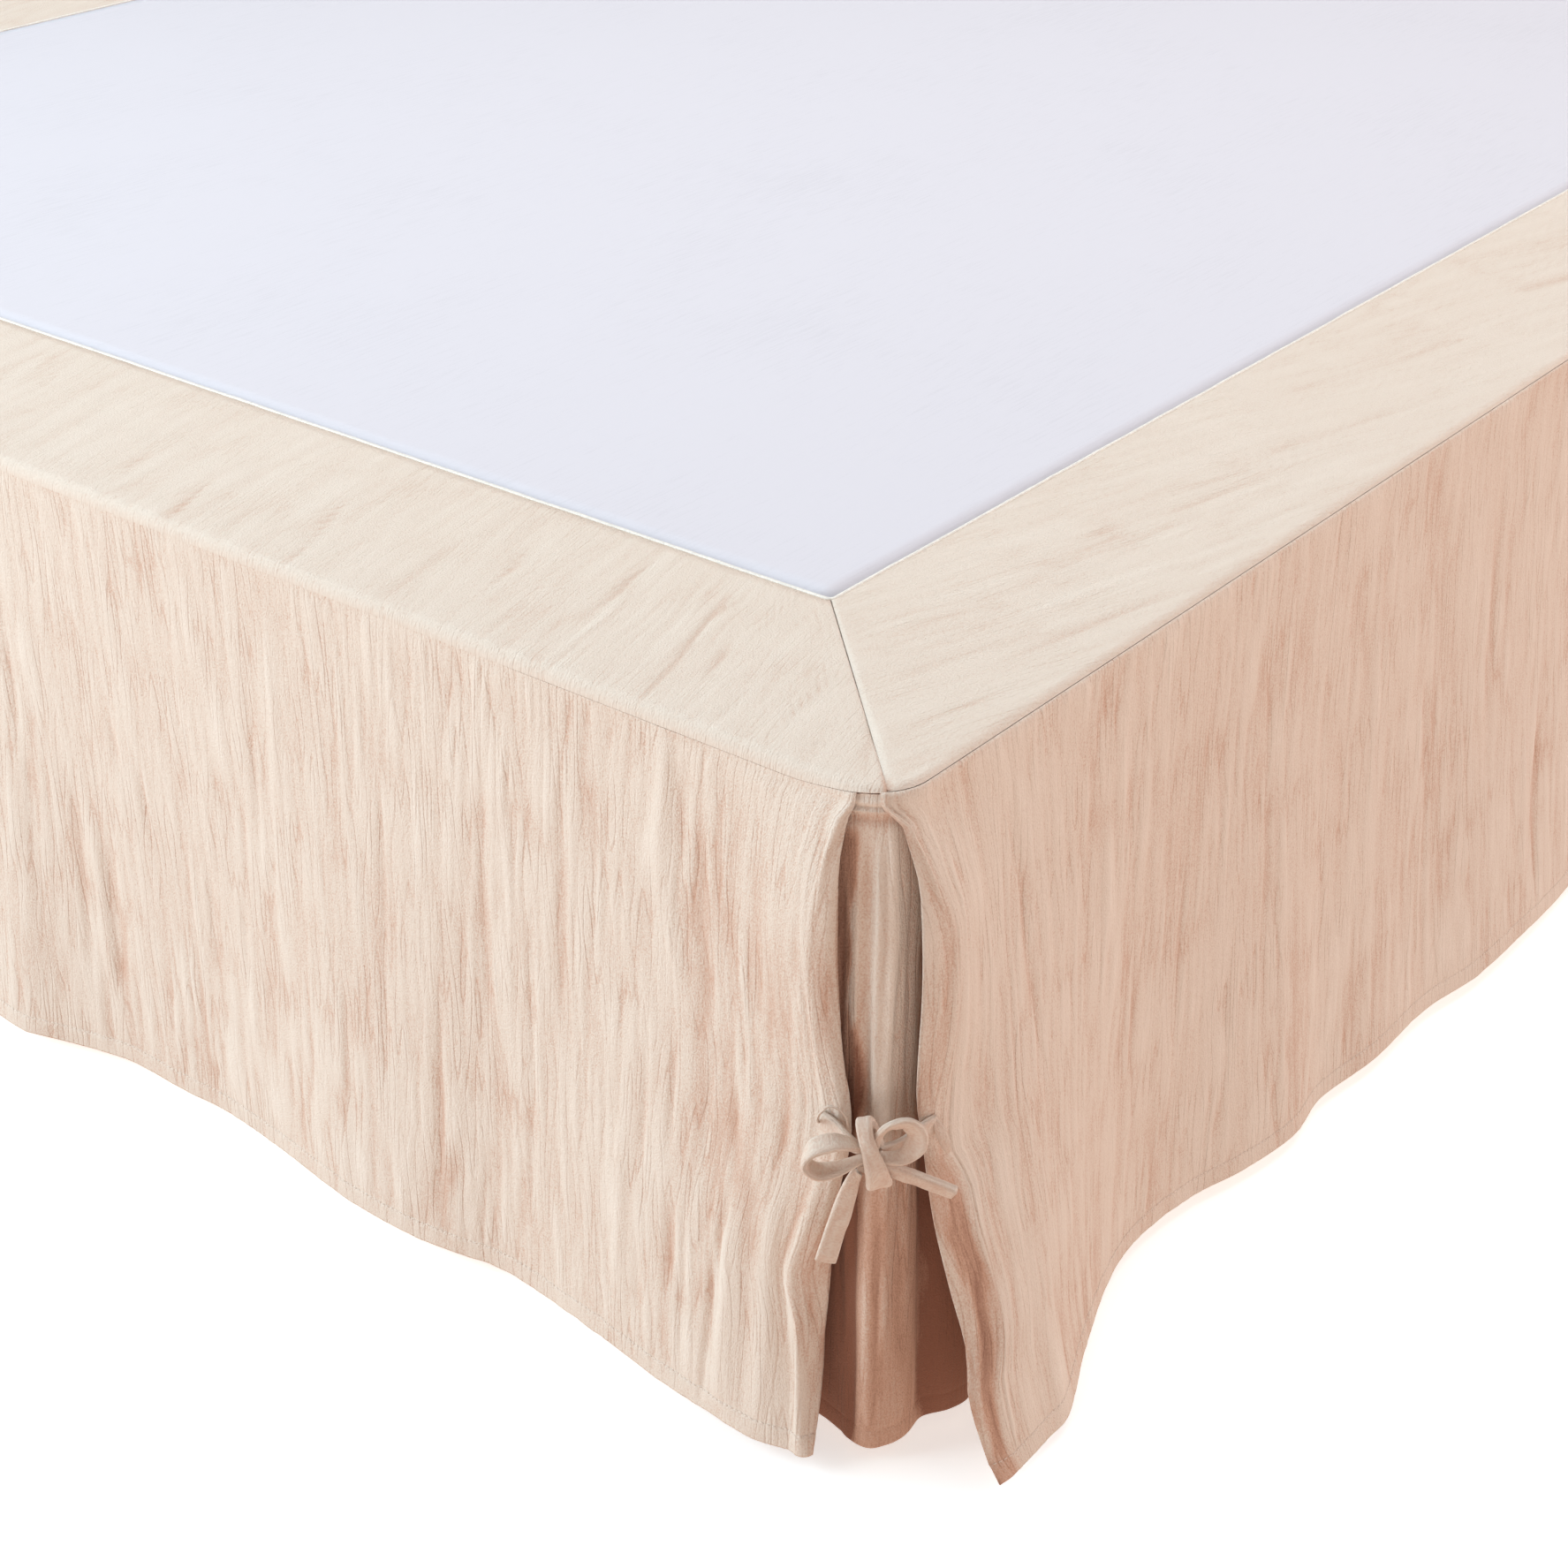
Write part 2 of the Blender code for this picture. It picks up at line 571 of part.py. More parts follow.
def make_platform(collection, material):
    """The flat cloth on top, between the border bands."""
    half_width = FACE_X - BAND_WIDTH - GAP
    foot = FACE_FOOT + BAND_WIDTH + GAP
    bm = bmesh.new()
    bmesh.ops.create_cube(bm, size=1.0)
    size = Vector((2 * half_width, HEAD_Y - foot, PLATFORM_CLOTH))
    bmesh.ops.scale(bm, verts=bm.verts[:], vec=size)
    centre = Vector((0, (HEAD_Y + foot) / 2, TOP_Z - CLOTH + PLATFORM_CLOTH / 2))
    bmesh.ops.translate(bm, verts=bm.verts[:], vec=centre)
    mesh = bpy.data.meshes.new("platform")
    bm.to_mesh(mesh)
    bm.free()
    return add_object(collection, "platform", mesh, material)


def make_box_spring(collection, material):
    """The plain base: a block with round corners and a soft top edge."""
    top = TOP_Z - CLOTH - GAP
    bm = bmesh.new()
    bmesh.ops.create_cube(bm, size=1.0)
    size = Vector((BED_WIDTH, BED_LENGTH, top - LEG_HEIGHT))
    bmesh.ops.scale(bm, verts=bm.verts[:], vec=size)
    centre = Vector((0, HEAD_Y - BED_LENGTH / 2, (top + LEG_HEIGHT) / 2))
    bmesh.ops.translate(bm, verts=bm.verts[:], vec=centre)
    upright = [e for e in bm.edges if abs(e.verts[0].co.z - e.verts[1].co.z) > 0.01]
    bmesh.ops.bevel(bm, geom=upright, offset=BASE_CORNER, segments=6, profile=0.5,
                    affect="EDGES")
    rim = [e for e in bm.edges if all(v.co.z > top - 1e-5 for v in e.verts)]
    bmesh.ops.bevel(bm, geom=rim, offset=BASE_TOP_ROUND, segments=3, profile=0.5,
                    affect="EDGES")
    mesh = bpy.data.meshes.new("box_spring")
    bm.to_mesh(mesh)
    bm.free()
    mesh.shade_smooth()
    mesh.set_sharp_from_angle(angle=math.radians(40))
    return add_object(collection, "box_spring", mesh, material)


def make_legs(collection, material):
    height = LEG_HEIGHT - GAP
    reach = BED_WIDTH / 2 - LEG_INSET_X
    number = 1
    for x in (-reach, reach):
        for y in LEG_PLACES_Y:
            name = "leg_" + str(number)
            bm = bmesh.new()
            bmesh.ops.create_cone(bm, cap_ends=True, segments=20, radius1=LEG_RADIUS,
                                  radius2=LEG_RADIUS, depth=height)
            bmesh.ops.translate(bm, verts=bm.verts[:], vec=Vector((0, 0, height / 2)))
            mesh = bpy.data.meshes.new(name)
            bm.to_mesh(mesh)
            bm.free()
            mesh.shade_smooth()
            mesh.set_sharp_from_angle(angle=math.radians(40))
            leg = add_object(collection, name, mesh, material)
            leg.location = (x, y, 0.0)
            number += 1


def main():
    clear_scene()
    parts = new_collection("bed skirt on box spring")
    guides = new_collection("guides")
    gauze = make_material("pink double gauze", GAUZE_PINK, 0.95)
    cotton = make_material("white platform cotton", PLATFORM_WHITE, 0.9)
    ticking = make_material("box spring ticking", TICKING_WHITE, 0.9)
    wood = make_material("leg wood", LEG_WOOD, 0.5)

    make_box_spring(parts, ticking)
    make_legs(parts, wood)
    make_platform(parts, cotton)
    make_band(parts, "band_foot", "foot", gauze)
    make_panel(parts, "panel_foot", "foot", gauze)
    right_pieces = {
        "band_right": make_band(parts, "band_right", "side", gauze),
        "panel_right": make_panel(parts, "panel_right", "side", gauze),
        "insert_right": make_insert(parts, "insert_right", gauze),
    }
    foot_tie, side_tie = make_ties(parts, guides, gauze)
    right_pieces["tie_foot_right"] = foot_tie
    right_pieces["tie_side_right"] = side_tie
    bpy.context.view_layer.update()
    for name, piece in right_pieces.items():
        left_copy(parts, piece, name.replace("right", "left"))


main()
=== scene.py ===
"""Cloth, ties, base and studio for a bed skirt of washed double gauze, laid out as an add-on.

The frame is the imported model. Every piece of cloth is a thin sheet on the same folds as its
solid, with the fine crinkle, seams, hems and stitches that the solid leaves out.

Frame: X across the bed, -Y the foot, +Y the head, +Z up. Lengths are metres, and the tables
are in millimetres.
"""
import math
from collections import namedtuple

import bmesh
import bpy
import numpy as np
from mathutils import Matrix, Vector


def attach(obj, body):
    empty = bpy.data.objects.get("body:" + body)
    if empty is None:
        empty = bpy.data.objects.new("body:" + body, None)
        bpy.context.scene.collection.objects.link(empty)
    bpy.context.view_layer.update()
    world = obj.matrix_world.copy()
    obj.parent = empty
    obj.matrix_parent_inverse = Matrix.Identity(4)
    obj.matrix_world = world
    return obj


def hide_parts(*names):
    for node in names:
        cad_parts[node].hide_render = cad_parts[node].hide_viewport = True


bl_info = {
    "name": "Double gauze bed skirt",
    "version": (1, 0, 0),
    "blender": (4, 5, 0),
    "location": "3D View > Sidebar > Bed Skirt",
    "description": "Dresses a bed skirt in washed double gauze and sets up its studio",
    "category": "Add Mesh",
}

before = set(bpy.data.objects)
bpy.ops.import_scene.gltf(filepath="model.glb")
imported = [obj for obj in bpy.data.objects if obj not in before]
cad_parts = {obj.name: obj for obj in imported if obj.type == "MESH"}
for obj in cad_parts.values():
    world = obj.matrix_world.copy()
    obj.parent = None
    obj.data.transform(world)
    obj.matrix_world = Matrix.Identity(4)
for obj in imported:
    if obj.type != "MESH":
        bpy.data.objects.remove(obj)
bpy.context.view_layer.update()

MM = 0.001

# The bed and the skirt
BED_WIDTH = 1.600
BED_LENGTH = 2.000
TOP_Z = 0.410
DROP = 0.400
BAND_WIDTH = 0.150
BASE_INSET = 0.0060
CORNER_RADIUS = 0.030
EDGE_RADIUS = 0.007
FOOT_FLARE = 0.026
SEAM_GAP = {"foot": 0.0002, "side": 0.0003}
PLATFORM_LOW = 0.0005
PLATFORM_GAP = 0.3 * MM
FACE_X = BED_WIDTH / 2 + BASE_INSET
FACE_FOOT = -(BED_LENGTH + BASE_INSET - FOOT_FLARE) / 2
HEAD_Y = FACE_FOOT + BASE_INSET + BED_LENGTH
QUARTER_TURN = EDGE_RADIUS * math.pi / 2
CLOTH_DROP = QUARTER_TURN + DROP - EDGE_RADIUS

# The skirt's three faces: the side whose tables they follow, the seed of their own crinkle, how
# coarse their grid is, and the flat width of the hanging panel. The left face is the right one
# mirrored, with its creases at other places.
Face = namedtuple("Face", "name side seed coarseness width left")
FACES = (
    Face("foot", "foot", 730, 1.0, 1.60, False),
    Face("right", "side", 310, 1.0, 2.02, False),
    Face("left", "side", 520, 1.45, 2.02, True),
)
SIDE_FACES = FACES[1:]
OUTWARD = {"foot": (0, -1, 0), "side": (1, 0, 0)}
OTHER_SIDE_PACE = 1.13
OTHER_SIDE_START = 0.021

# The split at each foot corner
FOOT_EDGE_START = 14.7 * MM
SIDE_EDGE_START = -3.4 * MM
TURNED_TOP_WIDTH = 2.0 * MM
TURNED_WIDTH = 13.0 * MM
PULL_REACH = 0.070
BULGE_REACH = 0.045
WAVE_START = 0.008
FLARE_POWER = 1.5

# The names of the cloth's own map and of the value of its puckers with painted shade and light,
# and the size of the noise
CLOTH_MAP = "cloth"
PUCKER_AND_SHADE = "pucker"
NOISE_CELLS = 512

# The platform, which is hemmed a little below the bands, and the bound seam round it
PLATFORM_SEED = 940
PLATFORM_COLUMNS = 96
PLATFORM_ROWS = 120
BINDING_SEED = 960
BINDING_STEP = 0.004
BINDING_SIZE = (0.0025, 0.0018)
BINDING_WOBBLE = 0.22 * MM

# The hem: its stitches and the groove they pull, its sinking waves as height in millimetres and
# length in metres, and the puckers that the sewing gathers
STITCH_HEIGHT = 12.0 * MM
STITCH_PITCH = 3.4 * MM
STITCH_LENGTH = 2.5 * MM
STITCH_RADIUS = 0.32 * MM
STITCH_MARGIN = 3.0 * MM
STITCH_GROOVE = {"hung": 0.25, "insert": 0.3}
GROOVE_WIDTH = 1.0 * MM
HEM_CALM = 0.35
HEM_CALM_REACH = (0.010, 0.019)
HEM_LAYERS = 0.5
HEM_LAYERS_REACH = (0.0113, 0.0127)
HEM_SINKS = ((0.9, 0.052), (0.35, 0.011))
GATHERS = 0.45
GATHER_CELL = (0.0052, 0.060)
GATHER_HEIGHT = 0.015
GATHER_REACH = 0.008

# Crinkle: each kind's width and length in metres. It starts below the seam, and its lines wander
# aside by a reach, again in cells of a width and length.
SEAM_CALM = 0.009
SWELL_CELL = (0.026, 0.095)
RIDGE_CELL = (0.0062, 0.062)
SMALL_CELL = (0.0036, 0.038)
PATCH_CELL = (0.045, 0.080)
WANDERS = ((1, 0.007, 0.13, 0.16), (6, 0.0015, 0.02, 0.03))
# The share of its height in the bands and inserts, which lie calmer than the panels
CALM_SWELL = 0.35
CALM_CRINKLE = 0.55
# How much of each height the panels' colour follows, livelier towards the hem: partly the blush
# layer showing, and partly painted shade in the troughs and painted light on the ridges
CRINKLE_SHOWN = 1.7
SWELL_SHOWN = {"foot": 0.4, "side": 0.6}
CREASES_SHOWN = 0.6
GATHERS_SHOWN = 0.5
LIVELIER = 0.35
LIVELIER_FROM = (0.220, 0.340)

# The roll of the ridges, and the fan of small folds below the side seam
RIDGE_ROLL = 0.5
RIDGE_ROLL_WIDTH = 0.0022
SEAM_FAN = 0.45
SEAM_FAN_CELL = (0.0042, 0.030)
SEAM_FAN_REACH = 0.022
SEAM_ROLL = 0.5
SEAM_ROLL_WIDTH = 0.0012
# Where broad painted shade lies on the foot panel beside its split, as rise and fall along it and
# down it
BROAD_SHADE_ALONG = ((0.020, 0.045), (0.112, 0.134))
BROAD_SHADE_DOWN = ((0.015, 0.070), (0.230, 0.330))
# Where a panel's grid is softened, at its ridges and at the foot's middle
SOFTENED_RIDGE = (0.005, 0.009)
SOFTENED_MIDDLE = (0.020, 0.040)
SOFTEN_PASSES = 4
# How deep a trough may be near the seam, in millimetres, and how much deeper below it
SHALLOWEST = 0.9
DEEPER = 2.6
DEEPER_FROM = (0.040, 0.130)

# The bands' mitres, seams and edges, and the angle by which their crinkle is turned
BAND_CALM = 0.006
BAND_LIP = 0.15
BAND_HEIGHTS = (-0.55, 1.6)
MITRE_GROOVE = 0.22
MITRE_GROOVE_WIDTH = 0.0015
MITRE_CALM = 0.35
MITRE_CALM_REACH = (0.001, 0.010)
MITRE_TIP = 0.010
MITRE_TIP_REACH = 0.007
BAND_PATTERN_START = (1.7, 1.9)
BAND_FAN_END = 0.260
MITRE_GAP = 0.0005
MITRE_START = 0.00004
BAND_EDGE_ROWS = 9
BandSteps = namedtuple("BandSteps", "near reach far rows")
BAND_STEPS = {
    "foot": BandSteps(0.0017, 0.350, 0.0030, 18),
    "side": BandSteps(0.0070, 0.400, 0.0120, 78),
}
BAND_TURN_IN = (1.0, 0.4)
BAND_TURN = {"foot": -math.radians(13.8), "side": math.radians(16.6)}

# How far painted shade moves the colour towards the deep folds' painted shade, in each place that
# light barely reaches
STRIP_SHADE_DEPTH = {"foot": 0.75, "side": 1.5}
STRIP_SHADE = {"foot": (0.0, 0.013), "side": (-0.001, 0.006)}
BELOW_BOW = (0.190, 0.240)
HOLLOW_SHADE_DEPTH = 3.9
LOW_INSERT_SHADE_DEPTH = 2.9
SEAM_SHADE_DEPTH = 2.5
BROAD_SHADE_DEPTH = 0.8
TIE_SHADE_DEPTH = 0.8

# The turned strips' roundness, in millimetres, and the depths between which it grows
STRIP_ROUND = {"foot": 1.8, "side": 0.9}
STRIP_ROUND_FROM = (0.030, 0.070)

# The insert's lifted top edge, where the folds and the painted shade behind the split start, and
# the painted shade to the right of the split
INSERT_COLUMNS = 139
INSERT_LIFT = 3.5 * MM
INSERT_LIFT_ASIDE = (0.011, 0.024)
INSERT_LIFT_DOWN = (0.0073, 0.022)
INSERT_CALM = (0.018, 0.030)
INSERT_NEAR = 0.080
HOLLOW_LOW = (0.160, 0.250)
HOLLOW_RIGHT = 0.0215
HOLLOW_RIGHT_SPREAD = 0.016
HOLLOW_SPREAD_FROM = (0.190, 0.300)

# Each row is one depth below the top: the panel's free edge and the ridge where it turns in,
# as distances along the panel from the corner and out from the face.
SplitRow = namedtuple("SplitRow", "depth edge_along edge_out ridge_along ridge_out")
FOOT_SPLIT = [SplitRow(*row) for row in (
    (20, 25.0, 0.5, 28.0, 4.0), (41, 26.3, 4.0, 32.0, 9.0), (65, 26.5, 4.0, 36.0, 11.0),
    (90, 26.7, 4.0, 38.3, 12.0), (114, 25.4, 4.0, 37.2, 12.0), (149, 22.2, 4.0, 32.5, 11.0),
    (172, 17.5, 4.0, 29.0, 9.5), (195, 17.0, 4.0, 29.0, 9.0), (225, 23.0, 4.0, 33.5, 10.0),
    (260, 28.0, 3.0, 42.0, 13.0), (290, 31.0, 1.0, 48.0, 15.0), (320, 34.0, 0.0, 42.0, 15.0),
    (360, 35.5, 1.0, 41.0, 15.5), (400, 31.5, 14.0, 37.0, 20.0),
)]
SIDE_SPLIT = [SplitRow(*row) for row in (
    (22, 13.0, -2.0, 15.5, 0.0), (49, 17.0, 4.0, 24.0, 9.0), (77, 16.5, 7.0, 33.0, 14.0),
    (112, 17.0, 8.0, 35.5, 16.0), (143, 15.5, 8.0, 35.5, 15.0), (172, 16.0, 8.0, 33.0, 13.5),
    (205, 19.0, 11.0, 32.0, 15.0), (226, 18.5, 15.0, 39.0, 22.0), (249, 18.3, 20.0, 38.0, 30.0),
    (282, 21.0, 27.5, 43.5, 38.0), (320, 25.5, 36.0, 43.0, 47.0), (340, 19.0, 42.5, 37.0, 50.0),
    (381, 25.7, 50.0, 42.0, 56.0), (400, 29.0, 58.0, 48.0, 59.0),
)]

# How far the hem stands out from the face, along each panel from the corner
HemRow = namedtuple("HemRow", "along out")
FOOT_HEM = [HemRow(*row) for row in (
    (32, 19.5), (56, 25), (94, 23), (134, 20), (177, 15), (223, 9), (266, 7), (302, 14),
    (342, 17.5), (387, 17), (444, 8), (498, 3), (546, 4), (595, 6), (637, 15), (677, 26),
    (740, 21), (805, 16),
)]
SIDE_HEM = [HemRow(*row) for row in (
    (27, 58.5), (55, 58), (82, 57), (143, 34), (202, 14), (240, 8), (294, 11.5), (337, 22.5),
    (389, 30), (433, 24), (491, 31), (565, 31), (624, 40), (705, 41), (790, 37), (880, 25),
    (975, 18), (1070, 27), (1165, 34), (1270, 24), (1380, 14), (1490, 20), (1600, 28), (1720, 19),
    (1850, 12), (2010, 9),
)]

# The insert's folds across the corner: distance round the corner from its middle, towards the
# side panel, and how far out it lies from the panels' top line at mid height and at the hem
InsertRow = namedtuple("InsertRow", "round_corner out_mid out_hem")
INSERT_FOLDS = [InsertRow(*row) for row in (
    (-110, -2.1, -5.0), (-80, -2.4, -8.0), (-43, -3.0, -12.0), (-24, -4.0, -9.0),
    (-18, -3.6, -6.5), (-13, -1.4, -4.6), (-9, -2.3, -3.0), (-2, 1.6, -0.6), (6, 0.2, -1.2),
    (14, -2.0, -1.5), (25, -2.6, -2.0), (38, -2.6, -3.0), (52, -2.2, 5.0), (64, -2.0, 8.0),
    (85, -2.1, 4.0), (110, -2.1, 0.0),
)]
INSERT_TOP_OUT = -2.1

# The bow, in the split's own directions: across (towards the side panel), out (away from the
# corner) and depth below the top. Each ribbon's width lies along its width direction.
BowRow = namedtuple("BowRow", "across out depth width width_across width_out width_up")
NumberedRow = namedtuple("NumberedRow", ("at",) + BowRow._fields)
FOOT_TIE_SEWN = [BowRow(*row) for row in (
    (-29.0, -12.6, 183, 11, 0.0, 0.0, 1.0), (-23.5, -6.0, 184, 11, 0.0, 0.0, 1.0),
    (-18.5, 1.0, 186, 9, 0.0, 0.0, 1.0), (-14.0, 4.8, 188, 7, 0.0, 0.0, 1.0),
    (-9.0, 5.2, 189, 6, 0.0, 0.0, 1.0),
)]
FOOT_TIE_LOOP = [BowRow(*row) for row in (
    (-9.0, 9.5, 185, 6, 0.0, 1.0, 0.1), (-15.0, 10.2, 183, 7, 0.0, 1.0, -0.1),
    (-26.0, 13.0, 178, 10, 0.0, 1.0, -0.35), (-36.0, 13.5, 180, 11, -0.2, 1.0, -0.3),
    (-40.5, 13.0, 188, 11, -0.3, 1.0, -0.2), (-35.0, 12.5, 195, 11, 0.0, 1.0, -0.3),
    (-25.0, 11.5, 195, 9, 0.0, 1.0, -0.3), (-15.0, 10.2, 192, 6, 0.0, 1.0, -0.1),
    (-9.0, 9.5, 191, 6, 0.0, 1.0, 0.1),
)]
FOOT_TIE_TAIL = [BowRow(*row) for row in (
    (-9.0, 7.5, 198, 5, 0.5, 0.0, 0.8), (-14.5, 8.2, 201, 6, 0.7, 0.0, 0.6),
    (-20.0, 9.0, 217, 10, 0.94, 0.0, 0.33), (-29.5, 9.0, 253, 11, 0.94, 0.0, 0.33),
)]
SIDE_TIE_SEWN = [BowRow(*row) for row in (
    (26.5, -7.4, 186, 11, 0.0, 0.0, 1.0), (20.0, -3.5, 187, 11, 0.0, 0.0, 1.0),
    (12.0, 1.0, 189, 9, 0.0, 0.0, 1.0), (5.0, 4.0, 190, 7, 0.0, 0.0, 1.0),
    (-2.5, 5.0, 191, 6, 0.0, 0.0, 1.0),
)]
SIDE_TIE_LOOP = [BowRow(*row) for row in (
    (-5.5, 10.0, 184, 6, -0.3, 1.0, 0.0), (-4.0, 12.0, 176, 7, -0.6, 0.8, 0.1),
    (0.5, 14.5, 169.5, 9, -0.3, 0.6, 0.6), (8.0, 15.5, 168, 10, 0.3, 0.5, 0.8),
    (13.0, 15.0, 173.5, 11, 0.8, 0.5, 0.35), (13.0, 14.5, 181.5, 11, 0.85, 0.5, -0.2),
    (8.0, 13.5, 188.5, 9, 0.4, 0.6, -0.7), (1.0, 12.0, 190.5, 7, 0.0, 0.9, -0.4),
    (-4.0, 10.0, 190, 6, 0.0, 1.0, -0.1),
)]
SIDE_TIE_TAIL = [BowRow(*row) for row in (
    (-2.0, 8.0, 199, 6, 0.35, 0.2, 0.9), (10.0, 10.0, 203, 8, 0.35, 0.3, 0.85),
    (22.0, 12.0, 208, 8.5, 0.35, 0.4, 0.8), (33.0, 13.0, 213, 8, 0.35, 0.4, 0.8),
)]

# The knot, a strip wrapped upright round the crossing of the ties
KNOT_WRAP = [BowRow(*row) for row in (
    (-5.0, 3.0, 190, 10, 1.0, 0.0, 0.0), (-8.0, 3.8, 178, 9, 1.0, 0.0, 0.0),
    (-11.5, 8.5, 171, 8, 1.0, 0.1, 0.1), (-10.8, 13.4, 177, 8, 0.9, 0.3, 0.1),
    (-8.6, 15.8, 186, 8.8, 0.9, -0.2, 0.0), (-5.8, 15.6, 196, 11.5, 0.95, -0.3, 0.0),
    (-4.0, 12.0, 205, 13, 1.0, -0.1, 0.1), (-4.2, 6.0, 204, 11, 1.0, 0.0, 0.0),
    (-5.0, 3.0, 190, 10, 1.0, 0.0, 0.0),
)]
# How finely each ribbon is gridded, along every row of its table and round its section
RIBBON_STEPS = 8
RIBBON_SIDES = 16
# Thickness of each part of the ties, in millimetres: tubes stand open, and the rest is pressed
KNOT_THICKNESS = 6.0
OPEN_TAIL_THICKNESS = 4.6
TAIL_THICKNESS = 3.0
LOOP_THICKNESS = 3.4
SEWN_THICKNESS = 3.4
PATCH_THICKNESS = 1.5
THREAD_THICKNESS = 1.0
# An open end's inner rings: how far back each lies, and its share of the outer ring
OPEN_END_RINGS = ((0.0, 0.62), (0.004, 0.55))
# A slack loop of tacking thread at the foot tie's sewn end, and the side tie's sewn patch
THREAD_LOOP = [BowRow(*row) for row in (
    (-31.0, -12.0, 184, 1, 1.0, 0.0, 0.0), (-31.5, -7.0, 178, 1, 1.0, 0.0, 0.0),
    (-31.0, -2.0, 171, 1, 1.0, 0.0, 0.0), (-27.5, 1.5, 165, 1, 0.3, 0.0, 1.0),
    (-23.0, 3.0, 166, 1, 0.3, 0.0, 1.0), (-19.5, 3.0, 171, 1, 1.0, 0.0, 0.0),
    (-18.0, 2.0, 177, 1, 1.0, 0.0, 0.0),
)]
SEWN_PATCH = [BowRow(*row) for row in (
    (25.8, -5.6, 183.0, 2.6, 1.0, -0.4, 0.1), (27.0, -4.6, 186, 5.0, 1.0, -0.4, 0.1),
    (29.5, -4.4, 193, 5.4, 1.0, -0.4, 0.1), (32.0, -5.6, 200, 4.2, 1.0, -0.4, 0.1),
    (33.0, -7.4, 204.0, 2.2, 1.0, -0.4, 0.1),
)]
THREAD_TWIST = 0.8
PIPING_TWIST = 1.6

# The studio
FLOOR_HALF = 7.0
# Each light's colour, its side and distance in metres, the direction it stands in, and the place
# that it shines at, both measured from the top of the right foot corner
StudioLight = namedtuple("StudioLight", "name colour power size distance towards target")
LIGHTS = (
    StudioLight("window", (0.74, 0.91, 1.0), "key", 2.2, 3.2, (-0.72, -0.66, 0.45),
                (-0.45, 0.0, -0.2)),
    StudioLight("overhead", (0.93, 0.98, 1.0), "top", 3.0, 2.6, (0.0, 0.2, 1.0),
                (-0.6, 0.7, 0.0)),
    StudioLight("fill", (1.0, 0.80, 0.75), "fill", 2.6, 4.0, (0.64, 0.70, 0.30),
                (0.0, 0.4, -0.2)),
    StudioLight("front", (1.0, 0.89, 0.87), "front", 2.6, 4.5, (0.70, -0.71, 0.10),
                (0.0, 0.0, -0.2)),
)
# The even light all round: warm near the horizon, as if thrown back by the room, and dim above
DAYLIGHT_LOW = (0.87, 0.67, 0.56, 1.0)
DAYLIGHT_HIGH = (0.31, 0.29, 0.28, 1.0)
DAYLIGHT_HIGH_FROM = 0.25
CAMERA_FROM_CORNER = (0.6136931, -0.8517258, 0.6024159)
CAMERA_TURN = (math.pi / 2 - 0.5144784, 0.0, 0.67065847)

# How the sheets are gridded: fine across the crinkle, coarse along it
PANEL_ROWS = (0.0, 0.5, 1.1, 1.8, 2.7, 4.0, 6.0, 9.0, 13.0, 18.0, 25.0, 34.0)
ROW_STEP = 11.0
HEM_ROWS = (16.0, 13.6, 12.6, 12.0, 11.4, 10.2, 7.0, 3.5, 1.2, 0.0)
SEAM_TURN_IN = (1.2, 0.5)
TURNED_STEPS = 10
RIDGE_STEP = 0.0008
RIDGE_REACH = 0.009
NEAR_STEP = 0.0017
NEAR_REACH = 0.350
FAR_STEP = 0.0030

# Creases that stand out, as runs between two places on the cloth: distance along the panel from
# the corner and depth below the top. A height below 0 is a trough. The rows are millimetres.
Crease = namedtuple("Crease", "start_along start_depth end_along end_depth width height")
FOOT_CREASES = [Crease(*row) for row in (
    (136, 14, 140, 70, 6.0, 1.6), (140, 70, 137, 99, 6.0, 1.7), (137, 99, 131, 128, 5.5, 1.4),
    (131, 128, 114, 168, 5.0, 1.0), (122, 30, 124, 75, 4.0, -0.9), (111, 60, 112, 112, 4.0, -1.3),
    (112, 112, 104, 150, 4.0, -1.1), (74, 105, 73, 135, 5.0, -1.1),
    (147, 188, 151, 262, 2.6, -1.3), (128, 190, 131, 250, 2.6, -1.4),
    (105, 195, 107, 250, 3.2, -1.4), (85, 190, 86, 240, 3.4, -1.6), (58, 186, 52, 220, 5.0, -1.4),
    (44, 105, 42, 160, 4.0, 1.0), (89, 262, 97, 312, 2.6, -2.2), (97, 312, 102, 392, 2.6, -2.2),
    (118, 286, 119, 352, 3.0, -1.2), (128, 286, 129, 336, 4.0, -1.7),
    (118, 352, 120, 388, 3.0, -1.3), (86, 278, 89, 384, 5.5, 1.7), (72, 240, 74, 384, 4.5, -1.1),
    (60, 250, 62, 380, 5.0, 1.4), (152, 322, 153, 362, 3.0, -1.2), (180, 366, 182, 392, 4.0, -1.3),
    (165, 250, 168, 380, 5.0, 1.2), (205, 60, 209, 190, 4.0, -0.9),
    (230, 150, 236, 330, 3.0, -1.2), (262, 90, 268, 240, 3.4, -0.9),
    (300, 230, 306, 372, 4.0, -1.3), (338, 120, 344, 300, 3.4, -1.0),
    (376, 250, 372, 384, 4.4, -1.2), (441, 110, 443, 184, 2.6, -1.3),
    (420, 60, 424, 180, 4.0, 0.9), (464, 228, 466, 282, 2.6, -1.3),
    (495, 222, 497, 282, 2.6, -1.4), (550, 176, 547, 212, 2.6, -1.3),
    (573, 138, 567, 186, 2.6, -1.3), (601, 232, 599, 340, 4.0, 1.6),
    (588, 240, 592, 336, 7.0, -1.6), (614, 200, 616, 330, 4.0, -1.2),
    (530, 362, 510, 372, 2.6, -1.5), (510, 372, 492, 366, 2.6, -1.4),
    (660, 90, 652, 300, 4.0, -1.1), (700, 160, 706, 372, 5.0, 1.2), (745, 60, 742, 250, 4.0, -1.0),
    (780, 200, 778, 380, 4.0, -1.1),
)]
